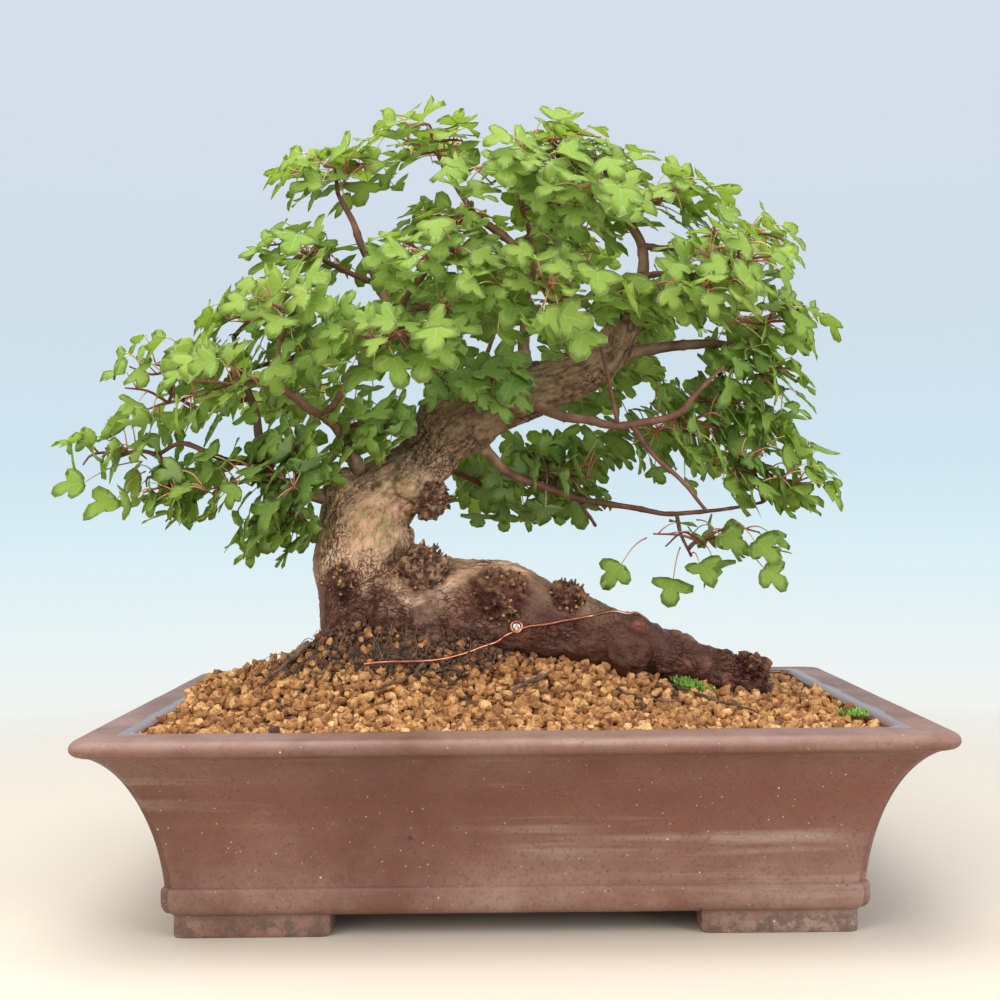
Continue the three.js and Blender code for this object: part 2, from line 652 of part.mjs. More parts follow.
// Whether a solid keeps its clearance from every piece that is in place.
function clearOf(solid, others) {
  return others.every((other) => other.minGap(solid, 2 * GAP) > GAP);
}

function nearby(centre, reach) {
  return placed.filter((solid) => {
    const { min, max } = solid.boundingBox();
    const room = new THREE.Box3(new THREE.Vector3(...min), new THREE.Vector3(...max));
    return room.distanceToPoint(centre) < reach;
  });
}

// One spray: a shoot from its twig, with leaves on stalks in pairs along its outer half.
function spray(centre, seed) {
  const random = seeded(seed);
  const spread = (amount) => (random() - 0.5) * 2 * amount;
  const { point, radius, branch } = growingPoint(centre);
  const neighbours = nearby(centre, 75);
  let stem = null;
  let middle = null;
  for (let attempt = 0; attempt < 60 && !stem; attempt++) {
    const tip = centre.clone().add(new THREE.Vector3(spread(1), spread(1), spread(1)).multiplyScalar(attempt / 2.5));
    const outward = tip.clone().sub(point).normalize();
    const start = point.clone().addScaledVector(outward, radius + 1.4 * GAP);
    middle = start.clone().lerp(tip, 0.5).add(new THREE.Vector3(0, 0, 2));
    const shoot = () => tube([start, middle, tip].map((v, i) => [v.x, v.y, v.z, SHOOT_RADIUS - 0.2 * i]), 5, 1);
    for (let k = 0; k < 4; k++) start.addScaledVector(outward, 1.4 * GAP - branch.minGap(shoot(), 10));
    const solid = shoot();
    if (clearOf(solid, neighbours)) stem = { solid, tip };
  }
  if (!stem) return null;
  let body = stem.solid;
  const up = new THREE.Vector3(0, 0, 1);
  const turn = random() * Math.PI * 2;
  for (let k = 0; k < LEAVES_PER_SPRAY; k++) {
    for (let attempt = 0; attempt < 40; attempt++) {
      const last = k === LEAVES_PER_SPRAY - 1;
      const from = last ? stem.tip : middle.clone().lerp(stem.tip, 0.35 + 0.5 * (k >> 1) * 0.6);
      const angle = turn + (k * Math.PI * 2) / LEAVES_PER_SPRAY + spread(0.3 + attempt * 0.04);
      const level = new THREE.Vector3(Math.cos(angle), Math.sin(angle), 0.1 + 0.4 * random()).normalize();
      const reach = 17 + 12 * random();
      const base = from.clone().addScaledVector(level, reach);
      const stalk = tube(
        [from.clone().addScaledVector(level, 0.2), base.clone().addScaledVector(level, 1.2)].map((v) => [
          v.x, v.y, v.z, PETIOLE_RADIUS,
        ]),
        3,
        1,
      );
      const along = level.clone().setZ(spread(0.5) - 0.15).normalize();
      const across = new THREE.Vector3().crossVectors(up, along).normalize();
      const facing = new THREE.Vector3().crossVectors(along, across);
      const turned = new THREE.Matrix4().makeBasis(along, across, facing).setPosition(base);
      const blade = leafBlade(0.85 + 0.25 * random()).transform(turned.elements);
      const leaf = stalk.add(blade);
      const wanted = attempt < 30 ? leaf.decompose().length === 1 : false;
      if (!wanted || !clearOf(leaf, neighbours)) continue;
      if (k > 0 && body.minGap(blade, 2 * GAP) <= GAP) continue;
      body = body.add(leaf);
      break;
    }
  }
  return largest(body);
}

sprayCentres.forEach((centre, i) => {
  const body = spray(centre, i + 1);
  if (body) add(`leaf_spray_${String(i + 1).padStart(2, "0")}`, body, foliage, GAP / 3);
});

// ---- frame ----

const bounds = new THREE.Box3().setFromObject(root, true);
const middle = bounds.getCenter(new THREE.Vector3());
root.position.set(-middle.x, -middle.y, -bounds.min.z);

export default root;
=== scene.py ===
import math

import bpy
import numpy as np
from mathutils import Matrix, Vector
from mathutils.bvhtree import BVHTree


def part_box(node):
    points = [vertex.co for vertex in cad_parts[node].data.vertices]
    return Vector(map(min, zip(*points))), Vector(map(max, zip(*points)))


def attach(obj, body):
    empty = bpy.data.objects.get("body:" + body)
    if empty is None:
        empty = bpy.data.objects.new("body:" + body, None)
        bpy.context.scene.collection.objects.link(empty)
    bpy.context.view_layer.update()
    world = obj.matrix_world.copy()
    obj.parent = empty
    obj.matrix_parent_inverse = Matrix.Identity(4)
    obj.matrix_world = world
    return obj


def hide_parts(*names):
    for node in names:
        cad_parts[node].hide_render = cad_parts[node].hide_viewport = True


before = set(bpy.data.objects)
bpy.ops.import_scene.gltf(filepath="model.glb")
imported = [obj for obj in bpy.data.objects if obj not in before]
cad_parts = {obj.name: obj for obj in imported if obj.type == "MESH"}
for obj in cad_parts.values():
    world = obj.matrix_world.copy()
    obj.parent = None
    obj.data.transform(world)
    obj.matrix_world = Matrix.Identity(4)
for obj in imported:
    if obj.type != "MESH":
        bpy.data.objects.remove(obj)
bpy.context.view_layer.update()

# ---- camera ----
# A long-lens view of the whole tree from straight in front, a little above the rim of the pot.
# The camera leans by half a degree, as a hand-set tripod does.
pot_low, pot_high = (np.array(corner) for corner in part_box("pot"))
pot_middle = (pot_low + pot_high) / 2


def in_frame(points):
    """Millimetres round the pot's middle, with the feet's undersides at 0, become metres in the frame."""
    return np.asarray(points, float) * 0.001 + [pot_middle[0], pot_middle[1], pot_low[2]]


CAMERA_PLACE = (-6.2, -887.0, 218.2)
CAMERA_LEAN = math.radians(0.57)
CAMERA_RAISE = math.radians(0.79)

camera_data = bpy.data.cameras.new("camera")
camera_data.lens = 52.0
camera_data.sensor_width = 36.0
camera_data.clip_start = 0.01
camera = bpy.data.objects.new("camera", camera_data)
camera.matrix_world = (
    Matrix.Translation(Vector(in_frame(CAMERA_PLACE)))
    @ Matrix.Rotation(CAMERA_LEAN, 4, "Y")
    @ Matrix.Rotation(math.pi / 2 + CAMERA_RAISE, 4, "X")
)
bpy.context.collection.objects.link(camera)
bpy.context.scene.camera = camera

# ---- pot ----
# A rectangular bonsai pot of unglazed purple-brown stoneware, slab-built and fired as one piece.
# It has a wide flared lip, corners stepped inwards, a band round the base and four corner feet.
POT_WIDTH, POT_DEPTH, POT_HEIGHT = (pot_high - pot_low) * 1000
LIP_WIDTH = 29.0
LIP_THICKNESS = 9.0
LIP_EDGE = POT_HEIGHT - LIP_THICKNESS - 0.5
LIP_CORNER = 11.0
FOOT_HEIGHT = 12.0
BAND_TOP = FOOT_HEIGHT + 16.0
WALL_SET_IN = 40.0
FLOOR_TOP = FOOT_HEIGHT + 8.0
NOTCH = 4.6
FOOT_SET_IN = 44.0
FOOT_LENGTH = 84.0
FOOT_DEPTH = 62.0
FOOT_WALL = 17.0
DRAIN_RADIUS = 11.0
DRAIN_SPACING = 170.0


def value_noise(points, seed=0):
    """Smooth noise from -1 to 1: a fixed random value at each whole-number place, blended along each axis."""
    cell = np.floor(points).astype(np.int64)
    part = points - cell
    part = part * part * (3 - 2 * part)
    total = np.zeros(len(points))
    for corner in np.ndindex(2, 2, 2):
        at = cell + corner
        mixed = at[:, 0] * 73856093 ^ at[:, 1] * 19349663 ^ at[:, 2] * 83492791 ^ (seed * 40503 + 977)
        mixed = (mixed ^ mixed >> 13) * 1274126177 & 0x7FFFFFFF
        mixed = (mixed ^ mixed >> 15) * 83492791 & 0x7FFFFFFF
        weight = np.prod(np.where(np.array(corner) == 1, part, 1 - part), axis=1)
        total += weight * (mixed / 0x3FFFFFFF - 1)
    return total


def layered_noise(points, layers=3, seed=0):
    """Value noise in layers, each of twice the fineness and half the height of the one before."""
    return sum(value_noise(points * 2**k, seed + k) / 2**k for k in range(layers))


def blend(low, high, value):
    """A smooth step from 0 to 1 as value goes from low to high."""
    t = np.clip((value - low) / (high - low), 0, 1)
    return t * t * (3 - 2 * t)


def mesh_piece(name, points, quads, tris=None, smooth_angle=None):
    """A mesh object from points in millimetres and arrays of four- and three-cornered faces."""
    tris = np.zeros((0, 3), int) if tris is None else np.asarray(tris)
    quads = np.zeros((0, 4), int) if quads is None else np.asarray(quads)
    mesh = bpy.data.meshes.new(name)
    mesh.vertices.add(len(points))
    mesh.vertices.foreach_set("co", in_frame(points).astype(np.float32).ravel())
    corners = np.concatenate([quads.ravel(), tris.ravel()]).astype(np.int32)
    sizes = np.concatenate([np.full(len(quads), 4), np.full(len(tris), 3)]).astype(np.int32)
    mesh.loops.add(len(corners))
    mesh.loops.foreach_set("vertex_index", corners)
    mesh.polygons.add(len(sizes))
    mesh.polygons.foreach_set("loop_start", (np.cumsum(sizes) - sizes).astype(np.int32))
    mesh.update(calc_edges=True)
    mesh.polygons.foreach_set("use_smooth", np.ones(len(sizes), bool))
    if smooth_angle:
        mesh.set_sharp_from_angle(angle=math.radians(smooth_angle))
    piece = bpy.data.objects.new(name, mesh)
    bpy.context.collection.objects.link(piece)
    return piece


def tube_faces(rings, sides):
    """The faces of a tube of rings of points, whose two end poles are the last two points."""
    ring, side = np.mgrid[0 : rings - 1, 0:sides]
    here = (ring * sides + side).ravel()
    beside = (ring * sides + (side + 1) % sides).ravel()
    quads = np.stack([here, beside, beside + sides, here + sides], axis=1)
    start = np.arange(sides)
    after = (start + 1) % sides
    pole = rings * sides
    last = (rings - 1) * sides
    first_cap = np.stack([np.full(sides, pole), after, start], axis=1)
    last_cap = np.stack([np.full(sides, pole + 1), last + start, last + after], axis=1)
    return quads, np.concatenate([first_cap, last_cap])


def pot_ring(set_in, z, corner, notched=0.0):
    """A level line round the pot. Its corners go from quarter circles to square steps as notched goes to 1."""
    a, b = POT_WIDTH / 2 - set_in, POT_DEPTH / 2 - set_in
    turn = np.linspace(0, math.pi / 2, 9)
    rounded = np.stack([a - corner + corner * np.cos(turn), b - corner + corner * np.sin(turn)], axis=1)
    step = [(0, -NOTCH - 0.8), (-0.25, -NOTCH - 0.2), (-0.9, -NOTCH), (0.6 - NOTCH, -NOTCH),
            (-NOTCH, -NOTCH), (-NOTCH, 0.6 - NOTCH), (-NOTCH, -0.9), (-NOTCH - 0.2, -0.25), (-NOTCH - 0.8, 0)]
    quarter = rounded * (1 - notched) + (np.array(step) + [a, b]) * notched
    mirrored = quarter[::-1] * [-1, 1]
    along = np.linspace(0, 1, 62)[1:-1, None]
    front = np.linspace(0, 1, 46)[1:-1, None]
    back_line = quarter[-1] * (1 - along) + mirrored[0] * along
    side_line = mirrored[-1] * (1 - front) + mirrored[-1] * [1, -1] * front
    half = np.concatenate([quarter, back_line, mirrored, side_line])
    whole = np.concatenate([half, -half])
    return np.column_stack([whole, np.full(len(whole), z)])


def loft(rings):
    """Points and faces of a closed body through level rings, each end closed on its middle."""
    count = len(rings[0])
    poles = [rings[0].mean(axis=0), rings[-1].mean(axis=0)]
    quads, tris = tube_faces(len(rings), count)
    return np.concatenate([*rings, np.array(poles)]), quads, tris


flare_ends = np.array([[WALL_SET_IN, BAND_TOP], [36, BAND_TOP + (LIP_EDGE - BAND_TOP) * 0.46],
                       [24, LIP_EDGE - 8], [6, LIP_EDGE]])
flare_t = np.linspace(0, 1, 26)[:, None]
flare = ((1 - flare_t) ** 3 * flare_ends[0] + 3 * (1 - flare_t) ** 2 * flare_t * flare_ends[1]
         + 3 * (1 - flare_t) * flare_t**2 * flare_ends[2] + flare_t**3 * flare_ends[3])

band = [(30, 0.4), (2.6, 0), (0.9, 0.7), (-0.5, 2.4), (-1.5, 5), (-1.7, 8), (-1.7, 12.4), (-1.4, 13.8),
        (-0.6, 14.7), (0, 15.1)]
profile = [(WALL_SET_IN + set_in, FOOT_HEIGHT + z, NOTCH, 1) for set_in, z in band]
for (set_in, z), share in zip(flare, flare_t[:, 0]):
    profile.append((set_in, z, NOTCH + (LIP_CORNER - 3 - NOTCH) * share, 1 - share))
bulge = np.linspace(-0.42, 0.42, 9) * math.pi
profile += [(4.6 * (1 - math.cos(t)), LIP_EDGE + 4.6 + 4.5 * math.sin(t), LIP_CORNER, 0) for t in bulge]
for set_in in (7, 10, 14, 18, 22, LIP_WIDTH - 5.4):
    profile.append((set_in, POT_HEIGHT - 0.45 + 0.45 * set_in / LIP_WIDTH, 9, 0))
profile += [(LIP_WIDTH + set_in, POT_HEIGHT - drop, 8, 0) for set_in, drop in (
    (-3.2, 0.1), (-1.6, 0.5), (-0.5, 1.6), (0, 3.4), (0.6, 8), (2.5, 20), (7, 33), (11, 44), (15, 56))]
profile += [(LIP_WIDTH + set_in, FLOOR_TOP + rise, 8, 0)
            for set_in, rise in ((19, 6), (22, 1), (24, 0), (60, 0))]
pot_points, pot_quads, pot_tris = loft([pot_ring(*row) for row in profile])
# The slabs are hand-smoothed, so no face is quite flat.
wobble = value_noise(pot_points / 70, 5) * 0.5 + value_noise(pot_points / 23, 6) * 0.16
away = pot_points * [1, 1, 0] / np.maximum(np.abs(pot_points[:, :2]).max(axis=1), 1)[:, None]
above_feet = blend(FOOT_HEIGHT, FOOT_HEIGHT + 10, pot_points[:, 2])
pot_points = pot_points - away * (np.abs(wobble) * above_feet)[:, None]
pot_points[:, 2] -= (np.abs(value_noise(pot_points / 50, 8)) * 0.35
                     * blend(LIP_EDGE, POT_HEIGHT, pot_points[:, 2]))
pot = mesh_piece("pot_body", pot_points, pot_quads, pot_tris)


def foot_rings(sign_x, sign_y):
    """The outline of an L-shaped foot with eased corners, at four heights, in mm."""
    x, y = POT_WIDTH / 2 - FOOT_SET_IN, POT_DEPTH / 2 - FOOT_SET_IN
    outline = np.array([(x - 5, y), (x - FOOT_LENGTH + 4, y), (x - FOOT_LENGTH + 1, y - 1),
                        (x - FOOT_LENGTH, y - 4), (x - FOOT_LENGTH, y - FOOT_WALL),
                        (x - FOOT_WALL, y - FOOT_WALL), (x - FOOT_WALL, y - FOOT_DEPTH),
                        (x - 4, y - FOOT_DEPTH), (x - 1, y - FOOT_DEPTH + 1), (x, y - FOOT_DEPTH + 4),
                        (x, y - 5), (x - 1.5, y - 1.5)])
    inner = np.array([x - FOOT_WALL / 2, y - FOOT_WALL / 2])
    rings = []
    for z, ease in [(0, 0.97), (1.0, 0.995), (3, 1.0), (FOOT_HEIGHT + 1, 1.0)]:
        ring = (outline - inner) * [ease, ease] + inner
        rings.append(np.column_stack([ring * [sign_x, sign_y], np.full(len(ring), z)]))
    if sign_x * sign_y < 0:
        rings = [ring[::-1] for ring in rings]
    return rings


def cutter(name, rings):
    """A closed body through level rings, flat at both ends, for a boolean step. It is removed after use."""
    sides = len(rings[0])
    quads, _ = tube_faces(len(rings), sides)
    ends = [list(range(sides))[::-1], [(len(rings) - 1) * sides + i for i in range(sides)]]
    mesh = bpy.data.meshes.new(name)
    mesh.from_pydata(in_frame(np.concatenate(rings)).tolist(), [], quads.tolist() + ends)
    body = bpy.data.objects.new(name, mesh)
    bpy.context.collection.objects.link(body)
    return body


def apply_modifiers(piece):
    """Puts the result of a piece's modifiers into its mesh."""
    shown = bpy.context.evaluated_depsgraph_get()
    shown.update()
    mesh = bpy.data.meshes.new_from_object(piece.evaluated_get(shown))
    piece.modifiers.clear()
    piece.data = mesh


def cut_or_join(piece, body, operation):
    """Joins a body to a piece or cuts it away, and removes the body."""
    modifier = piece.modifiers.new("step", "BOOLEAN")
    modifier.operation = operation
    modifier.object = body
    modifier.solver = "EXACT"
    apply_modifiers(piece)
    bpy.data.objects.remove(body)


for sign_x, sign_y in [(1, 1), (-1, 1), (-1, -1), (1, -1)]:
    cut_or_join(pot, cutter("foot", foot_rings(sign_x, sign_y)), "UNION")
for drain_x in (-DRAIN_SPACING / 2, DRAIN_SPACING / 2):
    around = np.linspace(0, 2 * math.pi, 32, endpoint=False)
    circle = np.column_stack([drain_x + DRAIN_RADIUS * np.cos(around), DRAIN_RADIUS * np.sin(around)])
    drain_rings = [np.column_stack([circle, np.full(32, z)]) for z in (5.0, 30.0)]
    cut_or_join(pot, cutter("drain", drain_rings), "DIFFERENCE")
pot.data.polygons.foreach_set("use_smooth", np.ones(len(pot.data.polygons), bool))
pot.data.set_sharp_from_angle(angle=math.radians(38))


def colour(text):
    """An sRGB hex colour as linear red, green, blue and alpha."""
    parts = [int(text[i : i + 2], 16) / 255 for i in (1, 3, 5)]
    return [c / 12.92 if c <= 0.04045 else ((c + 0.055) / 1.055) ** 2.4 for c in parts] + [1.0]


def material(name):
    """An empty material with its output and a principled shader, as (material, shader)."""
    made = bpy.data.materials.new(name)
    made.use_nodes = True
    made.node_tree.nodes.clear()
    output = made.node_tree.nodes.new("ShaderNodeOutputMaterial")
    shader = made.node_tree.nodes.new("ShaderNodeBsdfPrincipled")
    made.node_tree.links.new(shader.outputs["BSDF"], output.inputs["Surface"])
    return made, shader


def feed(target, inputs):
    """Gives a node's sockets, by name or number, other nodes' outputs, hex colours or plain values."""
    for key, value in inputs.items():
        socket = target.inputs[key]
        if isinstance(value, bpy.types.NodeSocket):
            target.id_data.links.new(value, socket)
        else:
            socket.default_value = colour(value) if isinstance(value, str) else value


# Short names for nodes: Blender's name, fixed settings, the sockets that inputs go to in order, and the
# output used.
NODES = {
    "place": ("TexCoord", {}, (), "Object"),
    "place_by_way": ("TexCoord", {}, (), "Generated"),
    "attribute": ("Attribute", {}, (), "Fac"),
    "paint": ("Attribute", {}, (), "Color"),
    "axis_x": ("SeparateXYZ", {}, (0,), "X"),
    "axis_y": ("SeparateXYZ", {}, (0,), "Y"),
    "axis_z": ("SeparateXYZ", {}, (0,), "Z"),
    "vector": ("CombineXYZ", {}, (0, 1, 2), 0),
    "scaled": ("Mapping", {}, ("Vector", "Scale"), 0),
    "shifted": ("VectorMath", {"operation": "MULTIPLY_ADD"}, (0, 1, 2), 0),
    "length": ("VectorMath", {"operation": "LENGTH"}, (0,), "Value"),
    "turned": ("VectorRotate", {"rotation_type": "Z_AXIS"}, ("Vector", "Angle"), 0),
    "uv": ("UVMap", {}, (), "UV"),
    "noise": ("TexNoise", {}, ("Vector", "Scale", "Detail", "Roughness"), 0),
    "colour_noise": ("TexNoise", {}, ("Vector", "Scale", "Detail", "Roughness"), 1),
    "cells": ("TexVoronoi", {}, ("Vector", "Scale"), "Distance"),
    "waves": ("TexWave", {"bands_direction": "DIAGONAL"}, ("Vector", "Scale", "Distortion", "Detail"), "Fac"),
    "range": ("MapRange", {}, ("Value", "From Min", "From Max"), 0),
    "ramp": ("ValToRGB", {}, (0,), 0),
    "mix": ("Mix", {"data_type": "RGBA"}, (0, 6, 7), 2),
    "bump": ("Bump", {}, ("Strength", "Distance", "Height"), 0),
    "translucent": ("BsdfTranslucent", {}, ("Color",), 0),
    "clear": ("BsdfTransparent", {}, (), 0),
    "two_shaders": ("MixShader", {}, (0, 1, 2), 0),
}


def node(made, kind, *inputs, **settings):
    """Adds a node and gives its output. kind is a short name from NODES, or else a Math node's operation. A
    ramp's inputs after the first are its stops, each a place and a colour or a grey. A noise's scale is 500
    over the size of its features in mm."""
    name, fixed, sockets, output = NODES.get(kind, ("Math", {"operation": kind}, (0, 1), 0))
    added = made.node_tree.nodes.new("ShaderNode" + name)
    for key, value in {**fixed, **settings}.items():
        setattr(added, key, value)
    feed(added, dict(zip(sockets, inputs)))
    for i, (place, tint) in enumerate(inputs[len(sockets):]):
        if i == len(added.color_ramp.elements):
            added.color_ramp.elements.new(place)
        added.color_ramp.elements[i].position = place
        added.color_ramp.elements[i].color = colour(tint) if isinstance(tint, str) else (tint, tint, tint, 1)
    return added.outputs[output]


def points_round_pot(place):
    """A place in the frame, in metres, becomes millimetres round the pot's middle."""
    return (np.array(place) - [pot_middle[0], pot_middle[1], pot_low[2]]) * 1000


def points_of(piece):
    """A piece's vertices in millimetres round the pot's middle."""
    flat = np.empty(len(piece.data.vertices) * 3, np.float32)
    piece.data.vertices.foreach_get("co", flat)
    return points_round_pot(flat.reshape(-1, 3).astype(float))


def give_attribute(piece, name, values, kind="FLOAT"):
    """Stores one number or colour for each vertex."""
    layer = piece.data.attributes.new(name, kind, "POINT")
    if kind == "FLOAT":
        layer.data.foreach_set("value", np.asarray(values, np.float32))
    else:
        rgba = np.column_stack([values, np.ones(len(values))])
        layer.data.foreach_set("color", rgba.astype(np.float32).ravel())


# Unglazed stoneware: fired clay with a soft dry sheen. It carries lime streaks, scratches, chalky specks
# and grit, and the lip's flat top has a painted highlight. The lip's inner edge is wet from the last watering.
stoneware, clay_shader = material("unglazed_stoneware")
where = node(stoneware, "place")
clouds = node(stoneware, "noise", where, 500 / 80, 5, 0.62)
body_colour = node(stoneware, "ramp", clouds, (0.3, "#532c1e"), (0.5, "#603424"), (0.7, "#6d4132"))
pot_height = node(stoneware, "axis_z", where)
lime_below = node(stoneware, "ramp", pot_height, (0.012, 0.95), (0.034, 0.6), (0.06, 0.2), (0.075, 0.1),
                  (0.097, 0.5))
lime_clouds = node(stoneware, "ramp", node(stoneware, "noise", where, 500 / 34, 5, 0.7), (0.36, 0.12),
                   (0.68, 0.8))
lime_share = node(stoneware, "MULTIPLY", lime_below, lime_clouds)
body_colour = node(stoneware, "mix", lime_share, body_colour, "#957a69")
streaks = node(stoneware, "noise", node(stoneware, "scaled", where, (1 / 24, 1 / 24, 1)), 500 / 4.5, 4, 0.6)
streak_clouds = node(stoneware, "noise", where, 500 / 60, 3, 0.55)
streak_share = node(stoneware, "MULTIPLY", node(stoneware, "ramp", streaks, (0.5, 0.0), (0.7, 0.55)),
                    node(stoneware, "ramp", streak_clouds, (0.5, 0.0), (0.64, 1.0)))
body_colour = node(stoneware, "mix", streak_share, body_colour, "#a18d7a")
grit = node(stoneware, "noise", where, 500 / 1.1, 2, 0.7)
grit_share = node(stoneware, "ramp", grit, (0.34, 0.4), (0.46, 0.0))
body_colour = node(stoneware, "mix", grit_share, body_colour, "#4a2c21")
specks = [(15, 0.028, "#d9cbbd"), (34, 0.035, "#2f211b"), (6, 0.06, "#b39a88"), (9, 0.05, "#2f211b"),
          (4, 0.05, "#a48c7a")]
for cell_mm, size, tint_text in specks:
    speck = node(stoneware, "cells", where, 1000 / cell_mm)
    speck_share = node(stoneware, "ramp", speck, (size, 0.7), (size * 1.5, 0.0))
    body_colour = node(stoneware, "mix", speck_share, body_colour, tint_text)
foot_low = node(stoneware, "ramp", pot_height, (0.009, 0.8), (0.013, 0.0))
foot_clouds = node(stoneware, "ramp", node(stoneware, "noise", where, 500 / 3.5, 4, 0.7), (0.44, 0.0),
                   (0.56, 1.0))
body_colour = node(stoneware, "mix", node(stoneware, "MULTIPLY", foot_low, foot_clouds), body_colour,
                   "#4f4034")
# Painted highlight: the lip's flat top is painted paler, where the light from above falls on it.
lip_top_highlight = node(stoneware, "attribute", attribute_name="lip")
lip_highlight_clouds = node(stoneware, "ramp", node(stoneware, "noise", where, 500 / 22, 5, 0.65), (0.36, 0.05),
                  (0.7, 0.85))
body_colour = node(stoneware, "mix", node(stoneware, "MULTIPLY", lip_top_highlight, lip_highlight_clouds), body_colour,
                   "#8d7166")
pot_wet = node(stoneware, "attribute", attribute_name="wetness")
wet_clouds = node(stoneware, "MULTIPLY", node(stoneware, "noise", where, 500 / 12, 4, 0.6), 0.6)
wet_edge = node(stoneware, "ramp", node(stoneware, "ADD", pot_wet, wet_clouds), (0.72, 0.0), (0.86, 1.0))
body_colour = node(stoneware, "mix", node(stoneware, "MULTIPLY", wet_edge, 0.8), body_colour, "#5a2d1c")
dry_clay = node(stoneware, "ramp", clouds, (0.3, 0.46), (0.7, 0.62))
roughness = node(stoneware, "mix", wet_edge, dry_clay, (0.16, 0.16, 0.16, 1))
tool_marks = node(stoneware, "noise", node(stoneware, "scaled", where, (1 / 6, 1 / 6, 1)), 500 / 8, 3, 0.5)
relief = node(stoneware, "ADD", node(stoneware, "MULTIPLY", grit, 0.3),
              node(stoneware, "MULTIPLY", tool_marks, 0.8))
clay_bump = node(stoneware, "bump", 0.4, 0.0007, relief)
feed(clay_shader, {"Base Color": body_colour, "Roughness": roughness, "IOR": 1.5, "Normal": clay_bump})
rim_points = points_of(pot)
from_rim = np.minimum(POT_WIDTH / 2 - np.abs(rim_points[:, 0]), POT_DEPTH / 2 - np.abs(rim_points[:, 1]))
# Where the lip's flat top takes its painted highlight.
lip_top_highlight_share = blend(POT_HEIGHT - 7, POT_HEIGHT - 2, rim_points[:, 2]) * (
    blend(LIP_WIDTH + 1, LIP_WIDTH - 1, from_rim))
give_attribute(pot, "lip", lip_top_highlight_share)
at_side = blend(LIP_WIDTH + 8, LIP_WIDTH - 2, POT_WIDTH / 2 - np.abs(rim_points[:, 0]))
wet_reach = blend(LIP_WIDTH - 7 - 12 * at_side, LIP_WIDTH - 1, from_rim)
wet_reach *= blend(POT_HEIGHT - 20, POT_HEIGHT - 4, rim_points[:, 2])
give_attribute(pot, "wetness", np.clip(wet_reach, 0, 1) * 0.8)
pot.data.materials.clear()
pot.data.materials.append(stoneware)
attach(pot, "root")
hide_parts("pot")

# ---- drain screens ----
# Two squares of black plastic mesh over the drain holes, which keep the soil in.
screen_plastic, screen_shader = material("moulded_polyethylene")
where = node(screen_plastic, "place")
screen_tint = node(screen_plastic, "ramp", node(screen_plastic, "noise", where, 500 / 8, 4, 0.55),
                   (0.3, "#1d1d1c"), (0.7, "#33312e"))
feed(screen_shader, {"Base Color": screen_tint, "Roughness": 0.5})
for side in ("left", "right"):
    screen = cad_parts[f"drain_screen_{side}"]
    screen.data.materials.clear()
    screen.data.materials.append(screen_plastic)

# ---- trunk ----
# The live trunk of an old maple: it leans over, hooks to the right and rises into the crown. A long
# surface root runs off to the right. The bark is tan and fissured, and the root's is dark and wet.
rim = POT_HEIGHT  # heights on the tree are given from the lip's inner edge


def raised(points):
    """A list of [x, y, z, radius] with heights counted from the lip."""
    return np.array(points, float) + [0, 0, rim, 0]


def smooth_line(points, step):
    """A curve through the given points, as many places about step apart: between two points it is the cubic
    whose slope at each is half the way between its neighbours. Radii follow the same cubic."""
    points = np.asarray(points, float)
    before = np.concatenate([points[:1] * 2 - points[1:2], points[:-1]])
    after = np.concatenate([points[1:], points[-1:] * 2 - points[-2:-1]])
    slope = (after - before) / 2
    rows = []
    for i in range(len(points) - 1):
        count = max(2, int(np.linalg.norm(points[i + 1, :3] - points[i, :3]) / step))
        t = np.linspace(0, 1, count, endpoint=False)[:, None]
        rows.append((2 * t**3 - 3 * t**2 + 1) * points[i] + (t**3 - 2 * t**2 + t) * slope[i]
                    + (3 * t**2 - 2 * t**3) * points[i + 1] + (t**3 - t**2) * slope[i + 1])
    return np.concatenate([*rows, points[-1:]])


def frames_along(line):
    """At each place of a line: the way it runs, and two ways across that don't twist from place to place."""
    ahead = np.gradient(line[:, :3], axis=0)
    ahead /= np.linalg.norm(ahead, axis=1)[:, None]
    across = np.zeros_like(ahead)
    guess = np.array([0, 0, 1.0]) if abs(ahead[0, 2]) < 0.9 else np.array([0, 1.0, 0])
    for i, way in enumerate(ahead):
        guess = guess - way * guess.dot(way)
        guess /= np.linalg.norm(guess)
        across[i] = guess
    return ahead, across, np.cross(ahead, across)


def sweep(line, sides, swell=None):
    """A closed tube along a line of [x, y, z, radius]: a ring of points at that radius round each place.
    swell multiplies the radius, one number for each ring and side."""
    _, across, over = frames_along(line)
    angle = np.linspace(0, 2 * math.pi, sides, endpoint=False)
    radius = np.broadcast_to(line[:, 3:4], (len(line), sides)) * (1 if swell is None else swell)
    spokes = across[:, None] * np.cos(angle)[None, :, None] + over[:, None] * np.sin(angle)[None, :, None]
    rings = line[:, None, :3] + spokes * radius[:, :, None]
    quads, tris = tube_faces(len(line), sides)
    points = np.concatenate([rings.reshape(-1, 3), line[:1, :3], line[-1:, :3]])
    return points, quads, tris


def stacked(bodies):
    """Several (points, quads, tris) bodies as one."""
    points, quads, tris, start = [], [], [], 0
    for body_points, body_quads, body_tris in bodies:
        points.append(body_points)
        quads.append(np.asarray(body_quads).reshape(-1, 4) + start)
        tris.append(np.asarray(body_tris).reshape(-1, 3) + start)
        start += len(body_points)
    return np.concatenate(points), np.concatenate(quads), np.concatenate(tris)


